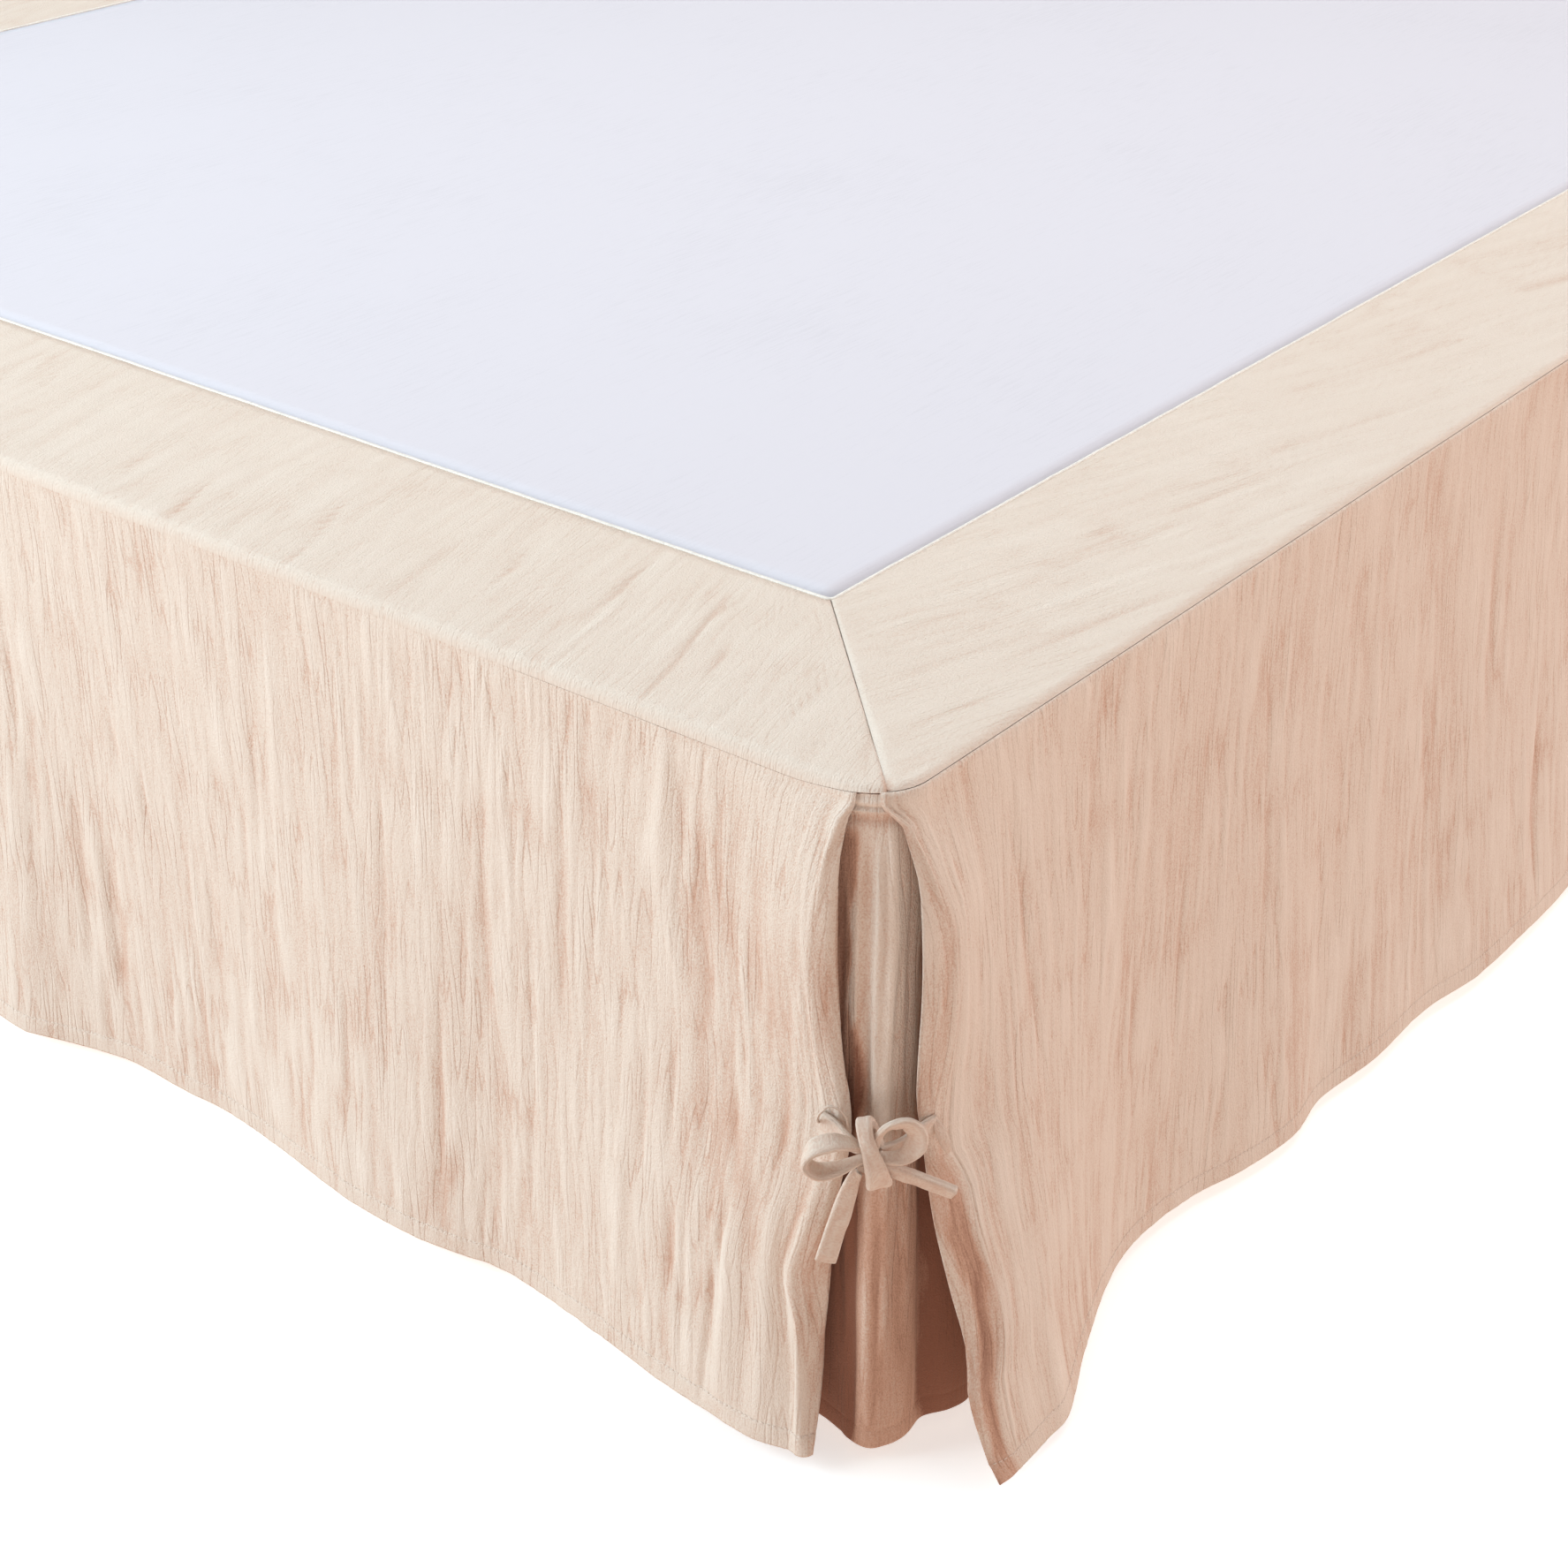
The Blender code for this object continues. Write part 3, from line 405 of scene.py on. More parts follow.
SIDE_CREASES = [Crease(*row) for row in (
    (94, 36, 98, 62, 3.4, -1.2), (98, 62, 105, 104, 3.4, -1.6), (105, 104, 113, 176, 3.4, -1.5),
    (113, 176, 120, 250, 4.0, -1.0), (131, 104, 134, 142, 3.0, -1.2),
    (146, 84, 149, 120, 3.0, -0.9), (170, 80, 173, 112, 3.0, -0.9), (186, 96, 191, 172, 4.6, 1.0),
    (208, 40, 219, 150, 5.0, -1.3), (222, 200, 226, 240, 3.0, -1.4), (240, 60, 246, 210, 6.0, 0.8),
    (270, 120, 276, 330, 5.0, -0.9), (318, 256, 324, 306, 3.2, -1.2),
    (352, 60, 358, 240, 5.0, -0.8), (372, 180, 378, 372, 5.0, 1.1),
    (420, 110, 426, 300, 4.5, -0.9), (480, 60, 486, 220, 5.0, 0.8),
    (551, 165, 558, 230, 2.8, -1.4), (558, 230, 556, 330, 3.4, -1.2),
    (640, 60, 634, 260, 5.0, -0.9), (735, 236, 714, 262, 3.6, -1.8),
    (714, 262, 710, 300, 3.6, -2.2), (710, 300, 712, 372, 4.0, -2.0),
    (693, 262, 690, 360, 6.0, 1.6), (790, 100, 796, 340, 5.0, -1.1), (870, 60, 874, 240, 5.0, 1.0),
    (960, 160, 954, 372, 5.0, -1.2), (1060, 80, 1066, 260, 5.0, -0.9),
    (1150, 200, 1146, 380, 6.0, 1.3), (1260, 90, 1264, 300, 5.0, -1.1),
    (1375, 170, 1370, 372, 5.0, -1.2), (1490, 60, 1496, 250, 5.0, 1.0),
    (1620, 150, 1616, 360, 5.0, -1.1), (1750, 90, 1756, 280, 5.0, -1.0),
    (1880, 180, 1876, 370, 5.0, 1.1),
)]
# On the bands the places are along the foot or side and in from the face.
FOOT_BAND_CREASES = [Crease(*row) for row in (
    (155, 6, 165, 41, 1.9, -0.9), (165, 41, 186, 96, 1.9, -0.9), (186, 96, 188, 122, 1.9, -0.6),
    (237, 66, 245, 96, 1.9, -0.7), (245, 96, 253, 128, 1.9, -0.7), (112, 8, 118, 42, 1.9, -0.8),
    (146, 44, 156, 76, 1.9, -0.5), (261, 6, 271, 46, 2.0, -0.6), (500, 4, 509, 24, 1.9, -0.9),
    (509, 24, 521, 52, 1.9, -0.8), (406, 4, 412, 24, 1.9, -0.9), (412, 24, 443, 84, 1.9, -0.8),
    (457, 3, 475, 42, 1.9, -0.7), (571, 30, 583, 56, 1.9, -0.6), (218, 10, 228, 60, 2.4, 0.5),
    (335, 12, 352, 84, 2.6, -0.5), (300, 50, 318, 120, 2.4, -0.5), (640, 20, 662, 96, 2.4, -0.6),
    (720, 8, 738, 74, 2.4, -0.5), (86, 30, 96, 84, 2.2, -0.5), (60, 14, 66, 44, 2.2, -0.5),
    (30, 20, 62, 70, 2.4, -0.5),
)]
SIDE_BAND_CREASES = [Crease(*row) for row in (
    (150, 40, 260, 18, 2.6, -0.5), (100, 70, 190, 44, 2.6, -0.5), (210, 60, 330, 26, 3.0, 0.5),
    (300, 90, 430, 52, 3.0, -0.5), (60, 36, 110, 24, 2.2, -0.5), (470, 70, 620, 30, 3.0, -0.5),
    (560, 110, 720, 66, 3.0, -0.5), (40, 30, 56, 52, 2.2, 0.5), (820, 80, 980, 34, 3.0, -0.6),
    (1200, 100, 1380, 50, 3.0, 0.6), (1500, 70, 1680, 24, 3.0, -0.6),
)]
INSERT_CREASES = [Crease(*row) for row in (
    (-9, 30, -9, 190, 2.8, -2.2), (-3, 34, -3.5, 170, 1.4, 1.3), (0, 34, 0, 150, 1.2, -0.9),
    (3, 24, 5, 78, 2.9, 2.3), (5, 78, 2.5, 118, 2.9, 2.5), (2.5, 118, 1.5, 160, 2.7, 2.4),
    (2, 160, 4, 330, 2.4, 2.0), (15, 70, 15, 190, 1.3, -0.8), (10, 40, 11, 170, 2.0, 0.5),
    (8, 230, 6, 300, 1.8, 0.8), (16, 210, 18, 300, 2.6, 1.0), (33, 220, 38, 392, 5.5, -3.4),
    (-24, 60, -26, 330, 3.0, -1.4), (-14, 210, -15, 392, 4.0, -2.6), (-6, 230, -5, 380, 2.6, 1.3),
    (1, 250, 0, 385, 1.6, -0.9), (34, 200, 38, 390, 3.0, 1.2), (-45, 40, -46, 360, 5.0, 1.0),
    (60, 60, 62, 360, 5.0, -0.8), (-75, 40, -72, 360, 5.0, -0.8),
)]
INSERT_WELTS = ((8.0, 2.4, 1.5), (11.0, 0.9, -1.0), (12.8, 1.1, 1.5), (17.4, 2.6, -1.3))
# How far the painted shade of the hollow beside the foot panel reaches over the insert, by depth
HollowRow = namedtuple("HollowRow", "depth reach")
INSERT_HOLLOW_SHADE = [HollowRow(*row) for row in (
    (22, -12.5), (48, -13.5), (68, -17.5), (100, -17.0), (125, -16.5), (142, -11.5), (170, -9.5),
    (205, -13.0), (392, -13.0),
)]
CREASE_FADE = 14.0


def smooth_value(rows, key, column, at):
    """A table's column at places between its rows, on a smooth curve."""
    keys = np.array([getattr(row, key) for row in rows], float)
    values = np.array([getattr(row, column) for row in rows], float)
    last = len(keys) - 1
    before = np.maximum(np.arange(last + 1) - 1, 0)
    after = np.minimum(np.arange(last + 1) + 1, last)
    slopes = (values[after] - values[before]) / (keys[after] - keys[before])
    at = np.clip(at, keys[0], keys[-1])
    lower = np.clip(np.searchsorted(keys, at, side="right") - 1, 0, last - 1)
    upper = lower + 1
    span = keys[upper] - keys[lower]
    f = (at - keys[lower]) / span
    start = values[lower] * (1 + 2 * f) * (1 - f) ** 2 + slopes[lower] * span * f * (1 - f) ** 2
    end = values[upper] * f * f * (3 - 2 * f) + slopes[upper] * span * f * f * (f - 1)
    return start + end


def smooth_step(low, high, value):
    f = np.clip((value - low) / (high - low), 0.0, 1.0)
    return f * f * (3 - 2 * f)


def hill(offset, width):
    """A soft hill across a distance, 1 at its middle."""
    return np.exp(-((offset / width) ** 2))


def between(rise, fall, value):
    """1 from the end of a rise to the start of a fall, and 0 outside them."""
    return smooth_step(*rise, value) * (1 - smooth_step(*fall, value))


def cell_noise(seed, cell, across, along):
    """Smooth random values whose cells have the given width and length."""
    return soft_noise(seed, across / cell[0], along / cell[1])


def corner_line(distance):
    """The top edge's outline round a corner, as (along, out) of the panel, and its normal."""
    half_arc = CORNER_RADIUS * math.pi / 4
    turn = math.pi / 4 + np.clip(distance, -half_arc, half_arc) / CORNER_RADIUS
    normal = np.stack([-np.cos(turn), np.sin(turn)], axis=-1)
    along = CORNER_RADIUS * (1 + normal[..., 0]) + np.maximum(distance - half_arc, 0.0)
    out = CORNER_RADIUS * (normal[..., 1] - 1) - np.maximum(-distance - half_arc, 0.0)
    return np.stack([along, out], axis=-1), normal


def seam_turn(side, along):
    """The angle round the top edge at which the band's seam lies."""
    if side == "side":
        return np.full_like(along, math.radians(48))
    return np.radians(52 + 38 * smooth_step(0.008, 0.062, along))


def edge_profile(length):
    """Offset out and depth at a length down the rounded top edge, from the flat top."""
    turn = np.minimum(length / EDGE_RADIUS, math.pi / 2)
    straight = np.maximum(length - QUARTER_TURN, 0.0)
    out = -EDGE_RADIUS * (1 - np.sin(turn))
    return out, EDGE_RADIUS * (1 - np.cos(turn)) + straight


def to_world(side, along, out, depth):
    """Points beside the right foot corner, from their distances on the foot or side face."""
    if side == "foot":
        place = (FACE_X - along, FACE_FOOT - out, TOP_Z - depth)
    else:
        place = (FACE_X + out, FACE_FOOT + along, TOP_Z - depth)
    return np.stack(np.broadcast_arrays(*place), axis=-1)


def edge_start(side):
    return FOOT_EDGE_START if side == "foot" else SIDE_EDGE_START


def panel_reach(side):
    """How far a panel runs beyond its ridge: to the bed's middle, or to its head."""
    reach = FACE_X if side == "foot" else HEAD_Y - FACE_FOOT
    half_arc = CORNER_RADIUS * math.pi / 4
    return reach - CORNER_RADIUS + half_arc - edge_start(side) - TURNED_TOP_WIDTH


def panel_surface(side, strip, beyond, length):
    """A hanging panel's plain surface, at a length of cloth from its seam.

    strip runs from 0 at the free edge to 1 at the ridge where the panel turns in, and beyond
    is the distance from that ridge, measured at the top.
    """
    split = FOOT_SPLIT if side == "foot" else SIDE_SPLIT
    hem = FOOT_HEM if side == "foot" else SIDE_HEM
    start = edge_start(side)
    strip, beyond, length = np.broadcast_arrays(strip, beyond, length)
    line, normal = corner_line(start + strip * TURNED_TOP_WIDTH + beyond)
    closed = smooth_step(0.225, 0.250, line[..., 0]) if side == "foot" else 0.0
    seam = EDGE_RADIUS * seam_turn(side, line[..., 0]) + SEAM_GAP[side] * (1 - 0.9 * closed)
    rounding, depth = edge_profile(seam + length * (CLOTH_DROP - seam) / CLOTH_DROP)

    open_share = smooth_step(EDGE_RADIUS, split[0].depth * MM, depth)
    depth_mm = np.maximum(depth / MM, split[0].depth)
    edge_top, _ = corner_line(np.array(start))
    ridge_top, _ = corner_line(np.array(start + TURNED_TOP_WIDTH))
    columns = ("edge_along", "edge_out", "ridge_along", "ridge_out")
    place = [smooth_value(split, "depth", column, depth_mm) * MM for column in columns]
    edge_move = np.stack(place[:2], axis=-1) - edge_top
    ridge_move = np.stack(place[2:], axis=-1) - ridge_top
    turned = edge_move + (ridge_move - edge_move) * strip[..., None]
    turned = line + turned * open_share[..., None]

    flare = (np.maximum(depth - EDGE_RADIUS, 0.0) / (DROP - EDGE_RADIUS)) ** FLARE_POWER
    ridge_wave = smooth_value(hem, "along", "out", place[2] / MM) * MM
    wave = smooth_value(hem, "along", "out", line[..., 0] / MM) * MM
    wave = ridge_wave + (wave - ridge_wave) * smooth_step(0.0, WAVE_START, beyond)
    pull = np.exp(-beyond / PULL_REACH) * open_share
    bulge = hill(beyond, BULGE_REACH)
    along = line[..., 0] + ridge_move[..., 0] * pull
    ridge_out = line[..., 1] + (place[3] - line[..., 1]) * open_share
    out = (line[..., 1] + wave * flare) * (1 - bulge)
    out = out + bulge * (ridge_out + (wave - ridge_wave) * flare)
    hung = np.stack([along, out], axis=-1)
    point = np.where((beyond > 0.0)[..., None], hung, turned) + normal * rounding[..., None]
    return to_world(side, point[..., 0], point[..., 1], depth)


def graded(start, end, near_step, near_reach, far_step):
    """Places from start to end, near_step apart at first and far_step apart at last."""
    places = [start]
    while places[-1] < end:
        share = smooth_step(near_reach * 0.5, near_reach * 2.0, places[-1] - start)
        places.append(places[-1] + near_step + (far_step - near_step) * float(share))
    places[-1] = end
    if end - places[-2] < 0.5 * near_step:
        del places[-2]
    return np.array(places)


def panel_columns(side, coarseness):
    """strip and beyond of each column: the turned strip, the rolled ridge, then the panel."""
    strip = np.linspace(0.0, 1.0, TURNED_STEPS + 1)
    ridge = np.arange(RIDGE_STEP, RIDGE_REACH, RIDGE_STEP)
    rest = graded(RIDGE_REACH, panel_reach(side), NEAR_STEP * coarseness, NEAR_REACH,
                  FAR_STEP * coarseness)
    beyond = np.concatenate([np.zeros(TURNED_STEPS + 1), ridge, rest])
    strip = np.concatenate([strip, np.ones(len(ridge) + len(rest))])
    return strip, beyond


def panel_rows():
    """Lengths of cloth from the seam, of each row of a hanging sheet."""
    last = CLOTH_DROP / MM - HEM_ROWS[0]
    middle = np.arange(PANEL_ROWS[-1] + ROW_STEP, last - 0.4 * ROW_STEP, ROW_STEP)
    hem = CLOTH_DROP / MM - np.array(HEM_ROWS)
    return np.concatenate([PANEL_ROWS, middle, hem]) * MM


def soft_noise(seed, across, along):
    """Smooth random values from -1 to 1 over a plane, one cell to a unit."""
    cells = np.random.default_rng(seed).uniform(-1.0, 1.0, (NOISE_CELLS, NOISE_CELLS))
    across, along = np.broadcast_arrays(across, along)
    i = np.floor(across).astype(int)
    j = np.floor(along).astype(int)
    f = across - i
    g = along - j
    f = f * f * (3 - 2 * f)
    g = g * g * (3 - 2 * g)
    rows = [cells[(i + step) % NOISE_CELLS, j % NOISE_CELLS] * (1 - g)
            + cells[(i + step) % NOISE_CELLS, (j + 1) % NOISE_CELLS] * g for step in (0, 1)]
    return rows[0] * (1 - f) + rows[1] * f


def crinkle(seed, across, along):
    """The puckers of washed double gauze: long narrow troughs between soft ridges, no two alike.

    Returns heights in millimetres, from broad swells to the narrow troughs, and the share of
    the narrow ones alone, from about -1 in a trough to 1 on a ridge.
    """
    for step, reach, width, length in WANDERS:
        across = across + reach * soft_noise(seed + step, across / width, along / length)
    swell = cell_noise(seed + 2, SWELL_CELL, across, along)
    ridge = np.abs(cell_noise(seed + 3, RIDGE_CELL, across, along)) * 2.6 - 0.9
    small = np.abs(cell_noise(seed + 4, SMALL_CELL, across, along)) * 2.6 - 0.9
    patch = 0.66 + 0.30 * cell_noise(seed + 5, PATCH_CELL, across, along)
    narrow = np.clip(0.6 * ridge + 0.4 * small, -1.2, 1.2)
    return swell, narrow * patch


def creases(rows, along, depth):
    """Heights in millimetres of soft troughs and ridges along straight runs."""
    total = np.zeros(np.broadcast(along, depth).shape)
    for row in rows:
        run = np.array([row.end_along - row.start_along, row.end_depth - row.start_depth])
        length = math.hypot(*run)
        run = run / length
        x = along / MM - row.start_along
        y = depth / MM - row.start_depth
        reached = x * run[0] + y * run[1]
        aside = x * run[1] - y * run[0]
        fade = min(CREASE_FADE, length / 2)
        ends = smooth_step(-fade, fade, reached)
        ends = ends * (1 - smooth_step(length - fade, length + fade, reached))
        total += row.height * hill(aside, row.width) * ends
    return total


def surface_normals(points, outward):
    """The unit normals of a grid of points, on the side that outward names."""
    normals = np.cross(np.gradient(points, axis=1), np.gradient(points, axis=0))
    normals /= np.linalg.norm(normals, axis=-1, keepdims=True)
    if (normals @ np.array(outward)).mean() < 0.0:
        normals = -normals
    return normals


def soften_columns(points, weight, passes):
    """Rounds a grid of points across its columns, where weight is above 0."""
    for _ in range(passes):
        middle = points[:, 1:-1]
        around = (points[:, :-2] + points[:, 2:]) / 2
        points[:, 1:-1] = middle + (around - middle) * weight[1:-1, None] / 2
    return points


def across_bed(points):
    """The same points on the bed's other side."""
    return points * np.array([-1.0, 1.0, 1.0])


def crease_places(face, points):
    """How far points lie along their face from its corner, and the place in the table of
    creases that they take, which is another one on the bed's left."""
    if face.side == "foot":
        along, other = FACE_X - np.abs(points[..., 0]), points[..., 0] < 0.0
    else:
        along, other = points[..., 1] - FACE_FOOT, face.left
    return along, np.where(other, OTHER_SIDE_PACE * along + OTHER_SIDE_START, along)


def mesh_object(name, points, faces, places, pucker):
    """A mesh with the cloth's flat places, in metres, as its map, and its puckers with painted
    shade as a value.
    """
    mesh = bpy.data.meshes.new(name)
    mesh.from_pydata(points.tolist(), [], faces)
    corners = np.empty(len(mesh.loops), np.int32)
    mesh.loops.foreach_get("vertex_index", corners)
    layer = mesh.uv_layers.new(name=CLOTH_MAP)
    layer.uv.foreach_set("vector", places[corners].astype(np.float32).ravel())
    held = mesh.attributes.new(PUCKER_AND_SHADE, "FLOAT", "POINT")
    held.data.foreach_set("value", pucker.astype(np.float32))
    mesh.shade_smooth()
    obj = bpy.data.objects.new(name, mesh)
    bpy.context.scene.collection.objects.link(obj)
    return obj


def grid_faces(rows, columns, around=False):
    """The quads of a grid, closed round its columns where it is a tube."""
    at = np.arange(rows * columns).reshape(rows, columns)
    ahead = np.roll(at, -1, axis=1)
    if not around:
        at, ahead = at[:, :-1], ahead[:, :-1]
    return np.stack([at[:-1], ahead[:-1], ahead[1:], at[1:]], axis=-1).reshape(-1, 4)


def cloth_object(name, points, outward, places, pucker, thickness, seam_row=None, left=False):
    """A closed sheet of cloth through a grid of points, its thickness on the inner side.

    The sheet turns in crisply at its seam row, where it has one. A left piece is the right one
    on the bed's other side.
    """
    if left:
        points, outward = across_bed(points), across_bed(np.array(outward))
    rows, columns = points.shape[:2]
    faces = grid_faces(rows, columns)
    middle = points[rows // 2, columns // 2]
    turn = np.cross(points[rows // 2, columns // 2 + 1] - middle,
                    points[rows // 2 + 1, columns // 2] - middle)
    if turn @ np.array(outward) < 0.0:
        faces = faces[:, ::-1]
    flat = np.stack(np.broadcast_arrays(*places), axis=-1).reshape(-1, 2)
    obj = mesh_object(name, points.reshape(-1, 3), faces.tolist(), flat, pucker.ravel())
    if seam_row is not None:
        ends = np.empty(2 * len(obj.data.edges), np.int32)
        obj.data.edges.foreach_get("vertices", ends)
        crisp = (ends.reshape(-1, 2) // columns == seam_row).all(axis=1)
        held = obj.data.attributes.new("sharp_edge", "BOOLEAN", "EDGE")
        held.data.foreach_set("value", crisp)
    thick = obj.modifiers.new("cloth thickness", "SOLIDIFY")
    thick.thickness = thickness
    thick.offset = -1.0
    return obj


def turned_in(grid, normals, lengths):
    """Rows that turn a sheet's first edge inwards at its seam, ahead of its own rows."""
    return np.stack([grid[0] - normals[0] * length * MM for length in lengths])


def along_strips(points, across, end):
    """Places across the cloth, measured in every row over its own turned strips."""
    steps = np.linalg.norm(np.diff(points, axis=1), axis=-1)
    places = np.repeat(across[None], len(points), axis=0)
    first = int((across < 0.0).sum())
    places[:, :first] = -np.cumsum(steps[:, first - 1::-1], axis=1)[:, ::-1]
    last = int((across < end + 1e-6).sum())
    if last < len(across):
        places[:, last:] = end + np.cumsum(steps[:, last - 1:], axis=1)
    return places


def ahead_of(rows, values):
    """The same grid with a number of copies of its first row ahead of it."""
    return np.concatenate([np.repeat(values[:1], rows, axis=0), values])


# The hanging panels

def hanging_cloth(face, cloth):
    """A hanging panel's cloth: points, outward normals, flat places and puckers with painted shade
    of its grid.
    """
    side, seed = face.side, face.seed
    strip, beyond = panel_columns(side, face.coarseness)
    length = panel_rows()[:, None]
    points = panel_surface(side, strip[None], beyond[None], length)
    across = (strip - 1) * TURNED_WIDTH + beyond
    if side == "foot":
        across = np.concatenate([across, 2 * across[-1] - across[-2::-1]])
        points = np.concatenate([points, across_bed(points[:, -2::-1])], axis=1)
    end = across[-1] - TURNED_WIDTH if side == "foot" else across[-1]
    to_ridge = np.minimum(np.abs(across), np.abs(end - across) if side == "foot" else 1.0)
    weight = 1 - smooth_step(*SOFTENED_RIDGE, to_ridge)
    if side == "foot":
        weight = weight + (1 - smooth_step(*SOFTENED_MIDDLE, np.abs(points[0, :, 0])))
    points = soften_columns(points, weight, SOFTEN_PASSES)
    across = along_strips(points, across, end)
    turned = np.maximum(-across, across - end)
    to_ridge = np.abs(turned) if side == "foot" else np.abs(across)
    sink = sum(rise * soft_noise(seed + 20 + i, across / wave, length * 0)
               for i, (rise, wave) in enumerate(HEM_SINKS))
    points[..., 2] -= sink * MM * smooth_step(0.6 * CLOTH_DROP, CLOTH_DROP, length)
    normals = surface_normals(points, OUTWARD[side])

    depth = TOP_Z - points[..., 2]
    along = crease_places(face, points)[1]
    marks = creases(FOOT_CREASES if side == "foot" else SIDE_CREASES, along, depth)

    from_hem = CLOTH_DROP - length
    swell, narrow = crinkle(seed, across, length)
    calm = smooth_step(0.0, SEAM_CALM, length)
    calm = calm * (HEM_CALM + (1 - HEM_CALM) * smooth_step(*HEM_CALM_REACH, from_hem))
    gathered = cell_noise(seed + 22, GATHER_CELL, across, length)
    gathered = GATHERS * gathered * hill(from_hem - GATHER_HEIGHT, GATHER_REACH)
    height = (cloth.swell * swell + cloth.crinkle * narrow) / MM * calm + marks + gathered
    height = height + RIDGE_ROLL * hill(to_ridge, RIDGE_ROLL_WIDTH)
    rounded = np.sin(math.pi * np.clip(turned / turned[:, :1], 0.0, 1.0))
    height = height + STRIP_ROUND[side] * rounded * smooth_step(*STRIP_ROUND_FROM, depth)
    height = height + HEM_LAYERS * (1 - smooth_step(*HEM_LAYERS_REACH, from_hem))
    height = height - STITCH_GROOVE["hung"] * hill(from_hem - STITCH_HEIGHT, GROOVE_WIDTH)
    if side == "side":
        fan = np.abs(cell_noise(seed + 23, SEAM_FAN_CELL, across, length)) * 2.4 - 0.8
        fan = fan * np.exp(-length / SEAM_FAN_REACH) * smooth_step(0.0, 0.003, length)
        height = height + SEAM_FAN * fan
        height = height + SEAM_ROLL * hill(length - SEAM_ROLL_WIDTH, SEAM_ROLL_WIDTH)
    below = depth + 0.4 * np.maximum(along - 0.11, 0.0)
    height = np.maximum(height, -SHALLOWEST - DEEPER * smooth_step(*DEEPER_FROM, below))
    # The colour follows the crinkle, creases and gathers: partly the blush layer, partly painted
    # shade in the troughs and painted light on the ridges
    livelier = 1 + LIVELIER * smooth_step(*LIVELIER_FROM, depth)
    pucker = livelier * (CRINKLE_SHOWN * narrow * calm + SWELL_SHOWN[side] * swell)
    pucker = pucker + CREASES_SHOWN * marks + GATHERS_SHOWN * gathered
    if side == "foot":
        # Broad painted shade beside the split, and painted shade on the turned strip
        broad_shade = between(*BROAD_SHADE_ALONG, along) * between(*BROAD_SHADE_DOWN, depth)
        pucker = pucker - BROAD_SHADE_DEPTH * broad_shade * (1 + 0.4 * swell)
        pucker = pucker - STRIP_SHADE_DEPTH[side] * smooth_step(*STRIP_SHADE[side], turned)
    else:
        # Painted shade on the turned strip, deeper below the bow
        deeper_shade = 0.6 + smooth_step(*BELOW_BOW, depth)
        pucker = pucker - STRIP_SHADE_DEPTH[side] * deeper_shade * smooth_step(*STRIP_SHADE[side], turned)

    start = turned_in(points, normals, SEAM_TURN_IN)
    points = np.concatenate([start, points + normals * height[..., None] * MM])
    more = len(SEAM_TURN_IN)
    length = np.concatenate([np.array(SEAM_TURN_IN)[:, None] * -MM, length])
    places = (ahead_of(more, across), length)
    pucker = ahead_of(more, pucker)
    # The turned-in seam rows are painted as shade in the seam's gap
    pucker[:more] -= SEAM_SHADE_DEPTH
    return points, ahead_of(more, normals), places, pucker


def make_hanging_panel(face, cloth):
    points, _, places, pucker = hanging_cloth(face, cloth)
    return cloth_object(face.name + "_panel", points, OUTWARD[face.side], places, pucker,
                        cloth.thickness, len(SEAM_TURN_IN), face.left)


# The border bands

def band_surface(side, distance, across):
    """A band's plain surface: across runs from 0 at its inner seam to 1 where the edge starts
    to turn down, and to 2 at the top edge's seam."""
    fan_length = BAND_FAN_END - CORNER_RADIUS + CORNER_RADIUS * math.pi / 4
    inner_start = BAND_WIDTH + MITRE_GAP
    distance, across = np.broadcast_arrays(distance, across)
    share = np.clip((distance - MITRE_START) / (fan_length - MITRE_START), 0.0, 1.0)
    inner = inner_start + (BAND_FAN_END - inner_start) * share
    inner = inner + np.maximum(distance - fan_length, 0.0)
    seam = np.stack([inner, np.full_like(inner, -BAND_WIDTH)], axis=-1)
    edge, normal = corner_line(distance)
    start = edge - normal * EDGE_RADIUS
    flat = seam + (start - seam) * np.clip(across, 0.0, 1.0)[..., None]
    turned = EDGE_RADIUS * seam_turn(side, edge[..., 0]) * np.clip(across - 1, 0.0, 1.0)
    rounding, depth = edge_profile(turned)
    place = np.where((across > 1.0)[..., None], edge + normal * rounding[..., None], flat)
    return to_world(side, place[..., 0], place[..., 1], depth)


